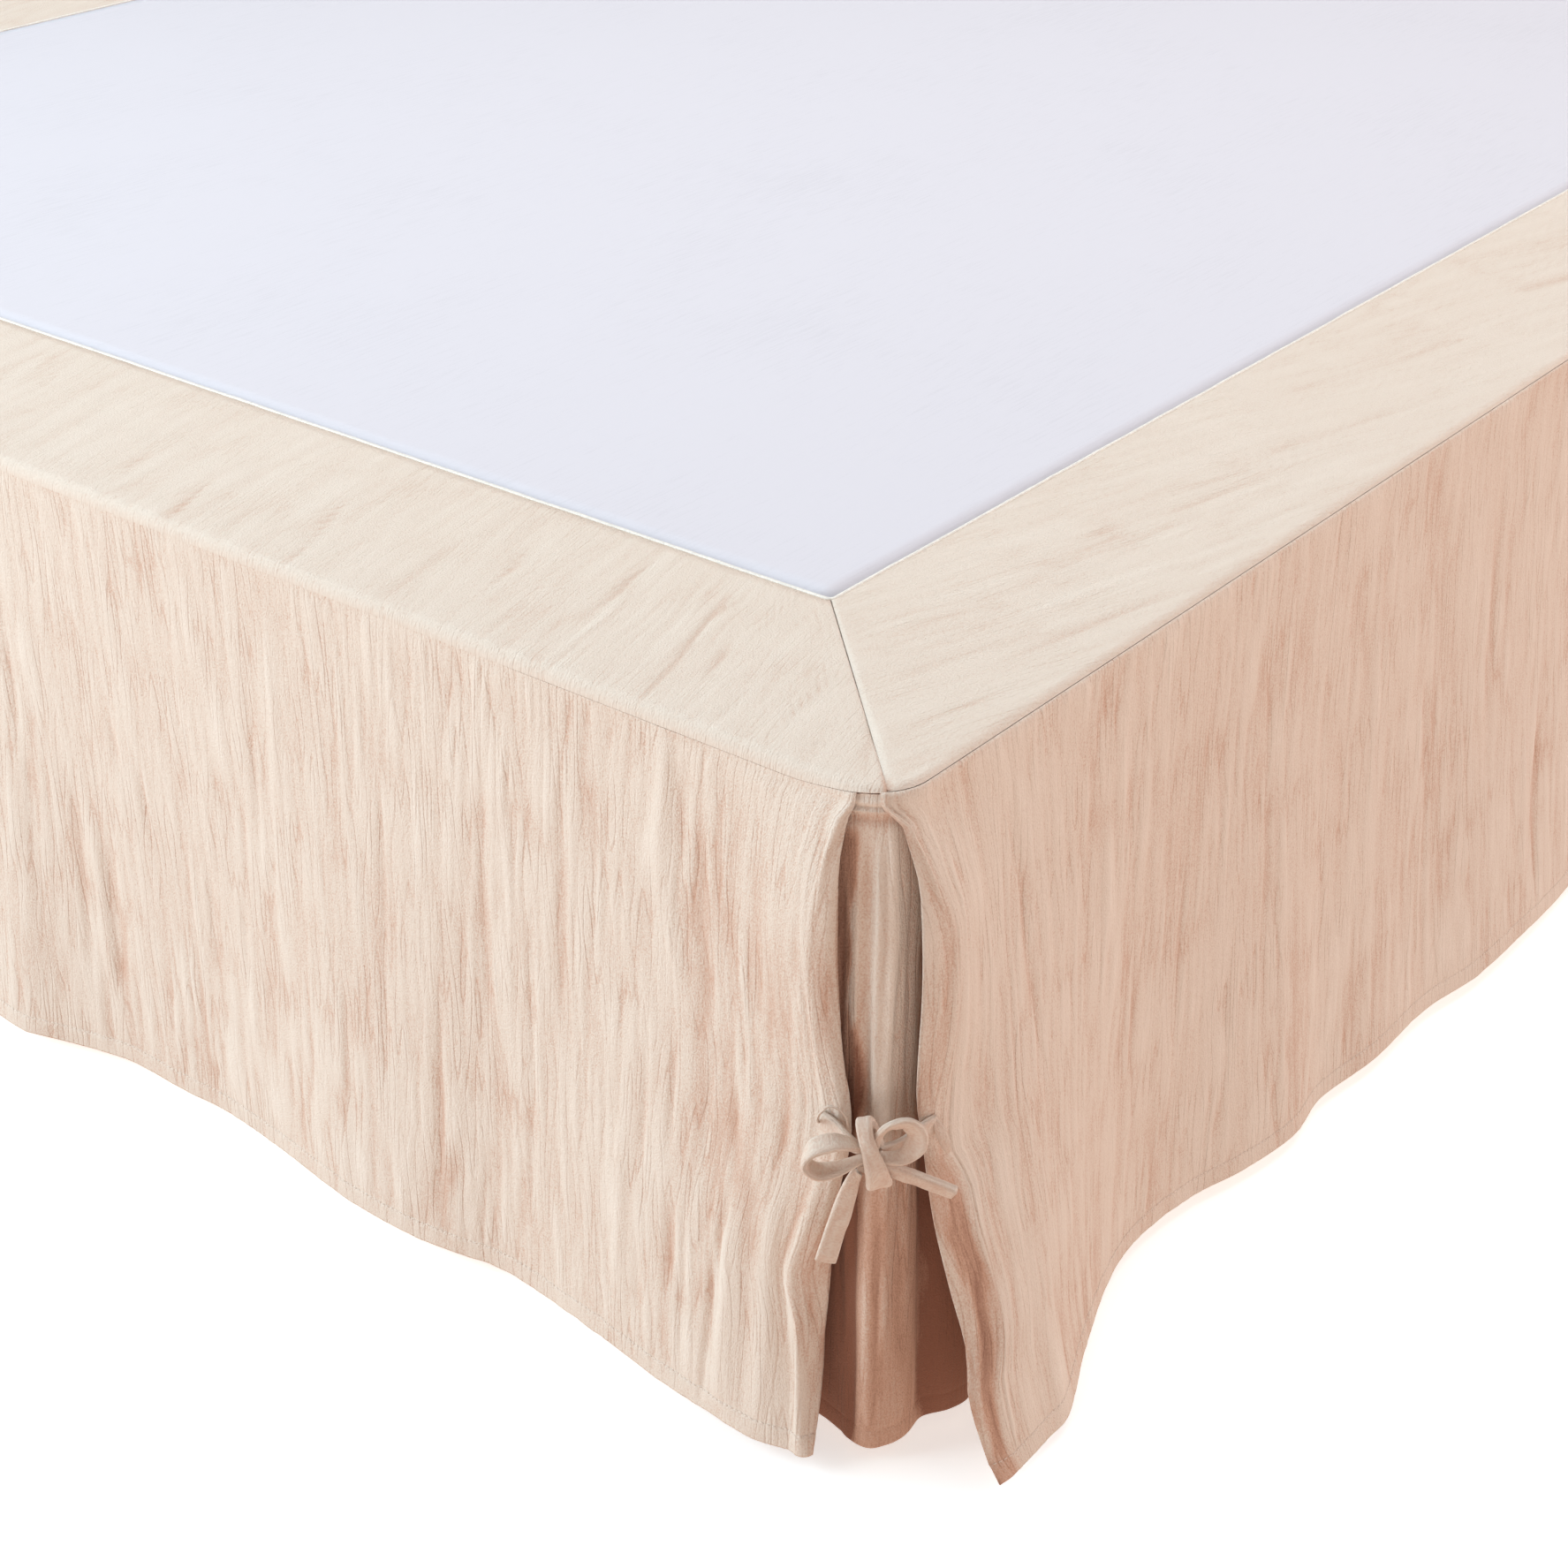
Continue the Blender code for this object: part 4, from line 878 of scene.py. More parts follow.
def band_cloth(face, cloth):
    """A border band's cloth: points, flat places and puckers with painted shade of its grid."""
    side = face.side
    fan_length = BAND_FAN_END - CORNER_RADIUS + CORNER_RADIUS * math.pi / 4
    reach = FACE_X if side == "foot" else HEAD_Y - FACE_FOOT
    steps = BAND_STEPS[side]
    last = fan_length + reach - BAND_FAN_END
    distance = graded(MITRE_START, last, steps.near, steps.reach, steps.far)
    flat = np.linspace(0.0, 1.0, steps.rows)
    across = np.concatenate([np.linspace(2.0, 1.0, BAND_EDGE_ROWS)[:-1], 1 - flat])
    points = band_surface(side, distance[None], across[:, None])
    if side == "foot":
        points = np.concatenate([points, across_bed(points[:, -2::-1])], axis=1)
    normals = surface_normals(points, (0, 0, 1))

    along, place = crease_places(face, points)
    inward = points[..., 1] - FACE_FOOT if side == "foot" else FACE_X - points[..., 0]
    marks = creases(FOOT_BAND_CREASES if side == "foot" else SIDE_BAND_CREASES, place, inward)
    turn = BAND_TURN[side]
    u = points[..., 0] * math.cos(turn) - points[..., 1] * math.sin(turn)
    v = points[..., 0] * math.sin(turn) + points[..., 1] * math.cos(turn)
    swell, narrow = crinkle(face.seed + 40, u + BAND_PATTERN_START[0],
                            v + BAND_PATTERN_START[1])
    mitre = np.abs(along - inward) * math.sqrt(0.5)
    calm = smooth_step(0.0, BAND_CALM, inward)
    calm = calm * smooth_step(0.0, BAND_CALM, BAND_WIDTH - inward)
    calm = calm * (MITRE_CALM + (1 - MITRE_CALM) * smooth_step(*MITRE_CALM_REACH, mitre))
    height = (CALM_SWELL * cloth.swell * swell + cloth.band_crinkle * narrow) / MM * calm
    height = height + BAND_LIP * smooth_step(0.0, 0.004, inward)
    height = height + marks * smooth_step(0.0, 0.008, inward)
    tip = hill(inward - MITRE_TIP, MITRE_TIP_REACH)
    height = height - (MITRE_GROOVE + 0.5 * tip) * hill(mitre, MITRE_GROOVE_WIDTH)
    height = height * smooth_step(-0.001, 0.004, BAND_WIDTH - inward)
    height = np.clip(height, *BAND_HEIGHTS)
    if side == "side":
        height = height - 0.25 * hill(across[:, None] - 1.92, 0.08)
    # The colour follows the crinkle and creases as painted shade and light, with painted shade in
    # the little fold at the mitre's tip
    pucker = narrow * calm + 0.2 * swell + 1.5 * marks - 2.0 * tip * hill(mitre, 0.002)
    turned = turned_in(points, normals, BAND_TURN_IN)
    points = np.concatenate([turned, points + normals * height[..., None] * MM])
    down = np.array([0.0, 0.0, -1.0])
    start = np.stack([points[:, 0] + down * length * MM for length in BAND_TURN_IN], axis=1)
    points = np.concatenate([start, points], axis=1)
    if side == "foot":
        points = np.concatenate([points, across_bed(start[:, ::-1])], axis=1)
    more = len(BAND_TURN_IN)
    values = []
    # The turned-in seam rows are painted as shade in the seam's gap
    for value, sunk_and_shaded in ((u, 0.0), (v, 0.0), (pucker, SEAM_SHADE_DEPTH)):
        value = ahead_of(more, value)
        value[:more] -= sunk_and_shaded
        value = np.concatenate([value[:, :1].repeat(more, axis=1), value], axis=1)
        if side == "foot":
            value = np.concatenate([value, value[:, -1:].repeat(more, axis=1)], axis=1)
        values.append(value)
    return points, values[:2], values[2]


def make_border_band(face, cloth):
    points, places, pucker = band_cloth(face, cloth)
    return cloth_object(face.name + "_band", points, (0, 0, 1), places, pucker,
                        cloth.thickness, len(BAND_TURN_IN), face.left)


# The inserts behind the splits

def insert_cloth(seed, cloth):
    """An insert's cloth round its corner: points, flat places and puckers with painted shade of
    its grid.
    """
    half = INSERT_FOLDS[-1].round_corner * MM
    distance = np.linspace(-half, half, INSERT_COLUMNS)[None]
    first = EDGE_RADIUS / MM + 0.3
    top = np.concatenate([[first, 7.7, 8.2], np.arange(8.8, 21.0, 0.9), [22, 25, 30, 36]])
    last = DROP / MM
    middle = np.arange(44.0, last - 20.0, 8.5)
    depth = np.concatenate([top, middle, last - np.array(HEM_ROWS)])[:, None] * MM
    lift = INSERT_LIFT * (1 - smooth_step(*INSERT_LIFT_ASIDE, np.abs(distance)))
    depth = depth - lift * (1 - smooth_step(*INSERT_LIFT_DOWN, depth))
    distance, depth = np.broadcast_arrays(distance, depth)
    mid = smooth_value(INSERT_FOLDS, "round_corner", "out_mid", distance / MM)
    hem = smooth_value(INSERT_FOLDS, "round_corner", "out_hem", distance / MM)
    hung = INSERT_TOP_OUT + (mid - INSERT_TOP_OUT) * smooth_step(0.012, 0.080, depth)
    out = (hung + (hem - hung) * smooth_step(0.150, DROP, depth)) * MM
    edge, normal = corner_line(distance)
    place = edge + normal * out[..., None]
    points = to_world("side", place[..., 0], place[..., 1], depth)
    normals = surface_normals(points, (1, -1, 0))

    swell, narrow = crinkle(seed + 60, distance + 0.4, depth)
    from_hem = DROP - depth
    behind = smooth_step(*INSERT_CALM, depth)
    calm = behind * (HEM_CALM + (1 - HEM_CALM) * smooth_step(*HEM_CALM_REACH, from_hem))
    near = hill(distance, INSERT_NEAR)
    height = CALM_SWELL * cloth.swell * swell + CALM_CRINKLE * cloth.crinkle * narrow
    height = height / MM * calm
    marks = creases(INSERT_CREASES, distance, depth)
    height = height + marks
    for place, width, rise in INSERT_WELTS:
        height = height + rise * hill(depth / MM - place, width) * near
    height = height - STITCH_GROOVE["insert"] * hill(from_hem - STITCH_HEIGHT, GROOVE_WIDTH)
    # The colour follows the crinkle and creases, partly as painted shade and light
    pucker = narrow * calm + 0.2 * swell + 0.6 * marks
    # Painted shade in the hollow beside the foot panel, right of the split and over the low insert
    low = smooth_step(*HOLLOW_LOW, depth)
    reach = smooth_value(INSERT_HOLLOW_SHADE, "depth", "reach", depth / MM) * MM
    aside = 1.6 * soft_noise(seed + 61, depth / 0.030, depth / 0.030) * MM
    hollow_shade = smooth_step(-0.001 - 0.002 * low, 0.003 + 0.005 * low, reach + aside - distance)
    hollow_shade = hollow_shade * (1 - 0.25 * (1 - low) * smooth_step(0.018, 0.022, -distance))
    right = HOLLOW_RIGHT + HOLLOW_RIGHT_SPREAD * smooth_step(*HOLLOW_SPREAD_FROM, depth)
    hollow_shade = hollow_shade + smooth_step(-0.004 * low, 0.006 + 0.006 * low, distance - right + aside)
    shaded = HOLLOW_SHADE_DEPTH * (1 + 0.3 * low) * hollow_shade + LOW_INSERT_SHADE_DEPTH * low
    pucker = pucker - shaded * behind
    # Painted light on the top tape below the band's edge
    pucker = pucker + 1.2 * (1 - smooth_step(0.009, 0.012, depth))
    # Painted shadow below the welts
    pucker = pucker - 1.8 * hill(depth - 0.0180, 0.0040)
    # Painted shade on the insert's right part, beside the side panel
    pucker = pucker - 0.8 * smooth_step(0.004, 0.012, distance) * (1 - low)
    points = points + normals * height[..., None] * MM
    return points, (distance + 5.37, depth), pucker


def make_insert_piece(face, cloth):
    points, places, pucker = insert_cloth(face.seed, cloth)
    return cloth_object(face.name + "_insert", points, (1, -1, 0), places, pucker,
                        cloth.thickness, left=face.left)


# The platform and its seam binding

def make_platform_cloth(name, thickness):
    half_width = FACE_X - BAND_WIDTH - PLATFORM_GAP
    foot = FACE_FOOT + BAND_WIDTH + PLATFORM_GAP
    x = np.linspace(-half_width, half_width, PLATFORM_COLUMNS)[None]
    y = np.linspace(foot, HEAD_Y, PLATFORM_ROWS)[:, None]
    # Broad waves and soft folds, both slanting over the bed
    slow = soft_noise(PLATFORM_SEED, (x + 0.2 * y) / 0.16 + 30, (y - 0.3 * x) / 0.30 + 30)
    fold = soft_noise(PLATFORM_SEED + 1, (x + 0.35 * y) / 0.07 + 40, (y - 0.35 * x) / 0.34 + 40)
    fold = np.abs(fold) * 2 - 0.7
    edge = np.minimum(half_width - np.abs(x), y - foot)
    height = (0.16 * slow + 0.14 * fold) * smooth_step(0.0, 0.030, edge)
    z = TOP_Z - PLATFORM_LOW + height * MM
    points = np.stack(np.broadcast_arrays(x, y, z), axis=-1)
    return cloth_object(name, points, (0, 0, 1), (x, y), slow, thickness)


def tube(points, wide, high, seed, crinkled, sides=10):
    """Rings round a line on the top, wider than it is high, its bottom left on the line."""
    run = np.gradient(points, axis=0)
    run /= np.linalg.norm(run, axis=-1, keepdims=True)
    up = np.array([0.0, 0.0, 1.0])
    aside = np.cross(run, up)
    turn = np.arange(sides) * 2 * math.pi / sides
    far = np.concatenate([[0.0], np.cumsum(np.linalg.norm(np.diff(points, axis=0), axis=1))])
    grown = 1 + crinkled * soft_noise(seed, far[:, None] / 0.006, turn[None] / 1.5 + 3)
    rings = points[:, None] + aside[:, None] * (np.cos(turn) * wide / 2 * grown)[..., None]
    rings = rings + up * (np.sin(turn) * high / 2 * grown)[..., None]
    return rings, far


def make_seam_binding(name):
    """The narrow raised line of bound seam round the platform's foot and sides."""
    x = FACE_X - BAND_WIDTH
    y = FACE_FOOT + BAND_WIDTH
    step = BINDING_STEP
    up_side = np.arange(HEAD_Y, y + step, -step)
    turn = np.linspace(0.0, math.pi / 2, 7)[1:-1]
    along_foot = np.arange(x - step, -x + step, -step)
    left = [[-x, far] for far in up_side]
    corner = [[-x + step * (1 - math.cos(a)), y + step * (1 - math.sin(a))] for a in turn]
    foot = [[-far, y] for far in along_foot]
    right = [[-px, py] for px, py in (left + corner)[::-1]]
    line = np.array(left + corner + foot + right)
    wobble = BINDING_WOBBLE * soft_noise(BINDING_SEED, np.arange(len(line)) * step / 0.03, 0.0)
    line = line + wobble[:, None]
    points = np.column_stack([line, np.full(len(line), TOP_Z - 0.0001)])
    rings, far = tube(points, *BINDING_SIZE, BINDING_SEED + 1, crinkled=0.10)
    sides = rings.shape[1]
    faces = grid_faces(*rings.shape[:2], around=True).tolist()
    faces.append(list(range(sides)))
    faces.append(list(range(len(rings) * sides - 1, (len(rings) - 1) * sides - 1, -1)))
    turn = np.arange(sides) * 0.0007
    places = np.stack(np.broadcast_arrays(turn[None], far[:, None]), axis=-1).reshape(-1, 2)
    pucker = np.zeros(len(places))
    return mesh_object(name, rings.reshape(-1, 3), faces, places, pucker)


# Stitches

def stitch_row(line, normals):
    """Small rounded stitches along a line on the cloth, as points and faces."""
    steps = np.linalg.norm(np.diff(line, axis=0), axis=1)
    far = np.concatenate([[0.0], np.cumsum(steps)])
    centres = np.arange(STITCH_MARGIN, far[-1] - STITCH_MARGIN, STITCH_PITCH)
    at = np.stack([np.interp(centres, far, line[:, i]) for i in range(3)], axis=-1)
    ahead = np.stack([np.interp(centres + 0.001, far, line[:, i]) for i in range(3)], axis=-1)
    up = np.stack([np.interp(centres, far, normals[:, i]) for i in range(3)], axis=-1)
    run = ahead - at
    run /= np.linalg.norm(run, axis=-1, keepdims=True)
    up /= np.linalg.norm(up, axis=-1, keepdims=True)
    aside = np.cross(run, up)
    half, thick = STITCH_LENGTH / 2, STITCH_RADIUS
    shape = [(-1.0, 0.0, 0.0)]
    for place in (-0.55, 0.55):
        shape += [(place, math.cos(a), math.sin(a)) for a in np.arange(6) * math.pi / 3]
    shape.append((1.0, 0.0, 0.0))
    shape = np.array(shape)
    points = at[:, None] + up[:, None] * (0.4 * thick)
    points = points + run[:, None] * (shape[:, :1] * half)
    points = points + aside[:, None] * (shape[:, 1:2] * thick)
    points = points + up[:, None] * (shape[:, 2:] * thick)
    faces = []
    for i in range(6):
        j = (i + 1) % 6
        faces += [[0, 1 + j, 1 + i], [1 + i, 1 + j, 7 + j], [1 + i, 7 + j, 7 + i],
                  [7 + i, 7 + j, 13]]
    count = len(shape)
    faces = (np.array(faces)[None] + np.arange(len(at))[:, None, None] * count).reshape(-1, 3)
    return points.reshape(-1, 3), faces


def make_hem_stitches(face, cloth):
    points, normals = hanging_cloth(face, cloth)[:2]
    row = len(points) - len(HEM_ROWS) + HEM_ROWS.index(STITCH_HEIGHT / MM)
    line, up = points[row], normals[row]
    if face.left:
        line, up = across_bed(line), across_bed(up)
    stitches, faces = stitch_row(line, up)
    return mesh_object(face.name + "_hem_stitches", stitches, faces.tolist(), stitches[:, :2],
                       np.zeros(len(stitches)))


# The ties

def bow_direction(across, out, up):
    half_turn = math.sqrt(0.5)
    return np.stack([(out + across) * half_turn, (across - out) * half_turn, up], axis=-1)


def bow_place(across, out, depth):
    corner = np.array([FACE_X, FACE_FOOT, TOP_Z])
    return corner + bow_direction(across * MM, out * MM, -depth * MM)


def ribbon(rows, seed, thickness, closed=False, open_end=False):
    """A flattened tube of gauze along a route: its points, faces, flat places and puckers with
    painted shade.
    """
    numbered = [NumberedRow(i, *row) for i, row in enumerate(rows)]
    at = np.linspace(0, len(rows) - 1, (len(rows) - 1) * RIBBON_STEPS + 1)
    value = {key: smooth_value(numbered, "at", key, at) for key in BowRow._fields}
    centre = bow_place(value["across"], value["out"], value["depth"])
    run = np.gradient(centre, axis=0)
    if closed:
        run[0] = run[-1] = centre[1] - centre[-2]
    run /= np.linalg.norm(run, axis=-1, keepdims=True)
    side = bow_direction(value["width_across"], value["width_out"], value["width_up"])
    side -= run * (run * side).sum(axis=-1, keepdims=True)
    side /= np.linalg.norm(side, axis=-1, keepdims=True)
    through = np.cross(run, side)
    far = np.concatenate([[0.0], np.cumsum(np.linalg.norm(np.diff(centre, axis=0), axis=1))])

    turn = np.arange(RIBBON_SIDES) * 2 * math.pi / RIBBON_SIDES
    # The section is a flattened oval with blunt, slightly thicker edges
    wide = np.sign(np.cos(turn)) * np.abs(np.cos(turn)) ** 0.62
    thick = np.sign(np.sin(turn)) * np.abs(np.sin(turn)) ** 0.75
    edge = 1 + 0.35 * np.abs(wide) ** 3
    fold = soft_noise(seed, far[:, None] / 0.006, wide[None] * 1.6 + 5)
    slow = soft_noise(seed + 1, far[:, None] / 0.015, wide[None] * 0.7 + 5)
    lift = (0.34 * fold + 0.36 * slow) * MM
    half_width = value["width"][:, None] / 2 * MM * (1 + 0.05 * fold)
    rings = centre[:, None] + side[:, None] * (wide * half_width)[..., None]
    rings = rings + through[:, None] * (thick * edge * thickness / 2 * MM + lift)[..., None]
    lengths = far
    if open_end:
        ends = []
        for back, scale in OPEN_END_RINGS:
            middle = centre[-1] - run[-1] * back
            ends.append(middle + (rings[-1] - centre[-1]) * scale)
        rings = np.concatenate([rings, np.stack(ends)])
        lengths = np.concatenate([far, far[-1] + np.array([0.001, 0.002])])
    count = len(rings)
    faces = grid_faces(count, RIBBON_SIDES, around=True).tolist()
    if not closed:
        faces.append(list(range(RIBBON_SIDES)))
        faces.append(list(range(count * RIBBON_SIDES - 1, (count - 1) * RIBBON_SIDES - 1, -1)))
    around = np.broadcast_to(turn[None] * 0.0035, (count, RIBBON_SIDES))
    places = np.stack(np.broadcast_arrays(around, lengths[:, None]), axis=-1).reshape(-1, 2)
    pucker = np.concatenate([fold, fold[-1:].repeat(count - len(fold), axis=0)])
    # The colour follows the folds, lighter at the blunt edges, with painted shade over the whole
    # tie
    pucker = 0.5 * pucker + 0.25 * (np.abs(wide)[None] ** 4) - TIE_SHADE_DEPTH
    return rings.reshape(-1, 3), faces, places, np.broadcast_to(pucker, around.shape).ravel()


def make_tie(name, parts, left=False):
    """One tie as a single piece: its sewn end, bow loop, tail and, on one of them, the knot."""
    points, faces, places, puckers = [], [], [], []
    start = 0
    for part in parts:
        part_points, part_faces, part_places, part_pucker_and_shade = part
        points.append(across_bed(part_points) if left else part_points)
        faces += [[start + i for i in face] for face in part_faces]
        places.append(part_places)
        puckers.append(part_pucker_and_shade)
        start += len(part_points)
    obj = mesh_object(name, np.concatenate(points), faces, np.concatenate(places),
                      np.concatenate(puckers))
    bm = bmesh.new()
    bm.from_mesh(obj.data)
    bmesh.ops.recalc_face_normals(bm, faces=bm.faces[:])
    bm.to_mesh(obj.data)
    bm.free()
    return obj


# Materials

def linear(hex_colour, share=1.0):
    """An sRGB hex value as linear RGBA, or a darker share of it."""
    values = [int(hex_colour[i:i + 2], 16) / 255 for i in (1, 3, 5)]
    values = [v / 12.92 if v <= 0.04045 else ((v + 0.055) / 1.055) ** 2.4 for v in values]
    return [v * share for v in values] + [1.0]


def add_node(tree, kind, inputs=None, stops=(), **settings):
    """Adds a node with its settings; each input is a value or the socket that feeds it, and
    stops are the places and colours of a ramp, in order."""
    node = tree.nodes.new(kind)
    for key, value in settings.items():
        setattr(node, key, value)
    for i, (place, colour) in enumerate(stops):
        elements = node.color_ramp.elements
        added = 0 < i < len(stops) - 1
        stop = elements.new(place) if added else elements[-1 if i else 0]
        stop.position = place
        stop.color = colour
    for socket, value in (inputs or {}).items():
        if isinstance(value, bpy.types.NodeSocket):
            tree.links.new(value, node.inputs[socket])
        else:
            node.inputs[socket].default_value = value
    return node


def new_material(name):
    material = bpy.data.materials.new(name)
    material.use_nodes = True
    material.node_tree.nodes.clear()
    return material, material.node_tree


def finish_material(tree, shader):
    add_node(tree, "ShaderNodeOutputMaterial", {"Surface": shader.outputs["BSDF"]})


def cloth_pattern(tree, width_mm, length_mm, detail):
    """Noise on the cloth's own map, one cell to a width and length in millimetres."""
    place = add_node(tree, "ShaderNodeUVMap", uv_map=CLOTH_MAP)
    scaled = add_node(tree, "ShaderNodeMapping", {
        "Vector": place.outputs["UV"],
        "Scale": (1000 / width_mm, 1000 / length_mm, 1.0),
    })
    return add_node(tree, "ShaderNodeTexNoise", {
        "Vector": scaled.outputs["Vector"], "Scale": 1.0, "Detail": detail, "Roughness": 0.5,
    }, noise_dimensions="2D").outputs["Fac"]


def crease_lines(tree, width_mm, length_mm, reach):
    """Thin lines where the noise passes its middle value: 1 in a line, 0 beside it."""
    noise = cloth_pattern(tree, width_mm, length_mm, 0.0)
    aside = add_node(tree, "ShaderNodeMath", {0: noise, 1: 0.5}, operation="SUBTRACT")
    aside = add_node(tree, "ShaderNodeMath", {0: aside.outputs[0]}, operation="ABSOLUTE")
    return add_node(tree, "ShaderNodeMapRange", {
        "Value": aside.outputs[0], "From Min": 0.0, "From Max": reach, "To Min": 1.0,
        "To Max": 0.0,
    }, interpolation_type="SMOOTHSTEP").outputs["Result"]


def double_gauze(name, look, creased, grain):
    """Washed cotton double gauze, two open layers tacked together and shrunk in the wash.

    It scatters light without a gloss. Its narrow troughs are coloured deeper, partly because the
    blush layer below shows and partly as painted shade for the light that bounces in them, and the
    ridges between are coloured creamy as painted light. Down in the skirt's own folds a painted
    warm brown shade stands for that bouncing.
    """
    material, tree = new_material(name)
    pucker = add_node(tree, "ShaderNodeAttribute", attribute_name=PUCKER_AND_SHADE).outputs["Fac"]
    # Crinkle lines 3 to 5 mm apart, and threads drawn at 0.9 mm where real ones lie at 0.4 mm
    wide = crease_lines(tree, 5.5, 55.0, 0.100)
    fine = crease_lines(tree, 3.1, 26.0, 0.070)
    threads = cloth_pattern(tree, 0.9, 1.2, 1.0)
    slubs = cloth_pattern(tree, 1.3, 4.0, 1.0)
    patch = cloth_pattern(tree, 34.0, 60.0, 1.0)
    lines = add_node(tree, "ShaderNodeMath", {0: fine, 1: 0.15, 2: wide},
                     operation="MULTIPLY_ADD")
    strength = add_node(tree, "ShaderNodeMapRange", {
        "Value": patch, "From Min": 0.36, "From Max": 0.64, "To Min": 0.30 * creased,
        "To Max": creased,
    })
    sunk_and_shaded = add_node(tree, "ShaderNodeMath", {
        0: lines.outputs[0], 1: strength.outputs["Result"],
    }, operation="MULTIPLY")
    weave = add_node(tree, "ShaderNodeMath", {0: slubs, 1: 0.5, 2: threads},
                     operation="MULTIPLY_ADD")
    # The weave and its lines fade in the painted shade of the deep folds
    seen = add_node(tree, "ShaderNodeMapRange", {
        "Value": pucker, "From Min": -3.5, "From Max": -0.3, "To Min": 0.35, "To Max": 1.0,
    })
    marks = add_node(tree, "ShaderNodeMath", {0: weave.outputs[0], 1: grain,
                                              2: 0.02 - 0.75 * grain},
                     operation="MULTIPLY_ADD")
    # The crinkle lines are painted darker too, as painted shade in them
    marks = add_node(tree, "ShaderNodeMath", {0: sunk_and_shaded.outputs[0], 1: -0.13,
                                              2: marks.outputs[0]}, operation="MULTIPLY_ADD")
    fold = add_node(tree, "ShaderNodeMath", {0: pucker, 1: 0.13, 2: 0.65},
                    operation="MULTIPLY_ADD")
    fold = add_node(tree, "ShaderNodeMath", {
        0: marks.outputs[0], 1: seen.outputs["Result"], 2: fold.outputs[0],
    }, operation="MULTIPLY_ADD")
    # The ramp runs from the painted shade of the deep folds, through the blush troughs with
    # painted shade, to the cream ridges with painted light
    colour = add_node(tree, "ShaderNodeValToRGB", {"Fac": fold.outputs[0]}, stops=(
        (0.0, linear(look.deep_fold)), (0.30, linear(look.trough)),
        (0.62, linear(look.middle)), (1.0, linear(look.ridge))))
    rise = add_node(tree, "ShaderNodeMath", {0: sunk_and_shaded.outputs[0], 1: -0.9,
                                             2: weave.outputs[0]}, operation="MULTIPLY_ADD")
    relief = add_node(tree, "ShaderNodeBump", {
        "Strength": look.bump, "Distance": 0.0007, "Height": rise.outputs[0],
    })
    shader = add_node(tree, "ShaderNodeBsdfPrincipled", {
        "Base Color": colour.outputs["Color"], "Roughness": 0.92, "Sheen Weight": 0.15,
        "Sheen Roughness": 0.5, "Sheen Tint": linear("#f6e6da"), "Specular IOR Level": 0.12,
        "Normal": relief.outputs["Normal"],
    })
    finish_material(tree, shader)
    return material


def percale_cotton(name, colour):
    """Bleached cotton percale, a close plain weave: smooth, cool white, with a faint grain."""
    material, tree = new_material(name)
    # Threads drawn at 1.2 mm, where real ones lie at 0.25 mm
    threads = cloth_pattern(tree, 1.2, 1.2, 1.0)
    slubs = cloth_pattern(tree, 2.0, 34.0, 2.0)
    cloud = cloth_pattern(tree, 140.0, 200.0, 2.0)
    shade = add_node(tree, "ShaderNodeMath", {0: threads, 1: 0.5, 2: slubs},
                     operation="MULTIPLY_ADD")
    shade = add_node(tree, "ShaderNodeMath", {0: cloud, 1: 0.6, 2: shade.outputs[0]},
                     operation="MULTIPLY_ADD")
    tint = add_node(tree, "ShaderNodeValToRGB", {"Fac": shade.outputs[0]},
                    stops=((0.5, linear(colour, 0.93)), (1.0, linear(colour))))
    relief = add_node(tree, "ShaderNodeBump", {
        "Strength": 0.25, "Distance": 0.0004, "Height": shade.outputs[0],
    })
    shader = add_node(tree, "ShaderNodeBsdfPrincipled", {
        "Base Color": tint.outputs["Color"], "Roughness": 0.8, "Sheen Weight": 0.1,
        "Specular IOR Level": 0.25, "Normal": relief.outputs["Normal"],
    })
    finish_material(tree, shader)
    return material


def cotton_thread(name, colour, turn_mm):
    """Mercerised cotton thread and piping, spun and polished: a soft gleam on each twist."""
    material, tree = new_material(name)
    place = add_node(tree, "ShaderNodeTexCoord").outputs["Object"]
    # The twist of the yarn, one turn to turn_mm
    twist = add_node(tree, "ShaderNodeTexNoise", {
        "Vector": place, "Scale": 1000 / turn_mm, "Detail": 1.0, "Roughness": 0.5,
    }).outputs["Fac"]
    tint = add_node(tree, "ShaderNodeValToRGB", {"Fac": twist},
                    stops=((0.25, linear(colour, 0.82)), (0.75, linear(colour))))
    relief = add_node(tree, "ShaderNodeBump", {
        "Strength": 0.4, "Distance": 0.0003, "Height": twist,
    })
    shader = add_node(tree, "ShaderNodeBsdfPrincipled", {
        "Base Color": tint.outputs["Color"], "Roughness": 0.55, "Specular IOR Level": 0.4,
        "Normal": relief.outputs["Normal"],
    })
    finish_material(tree, shader)
    return material


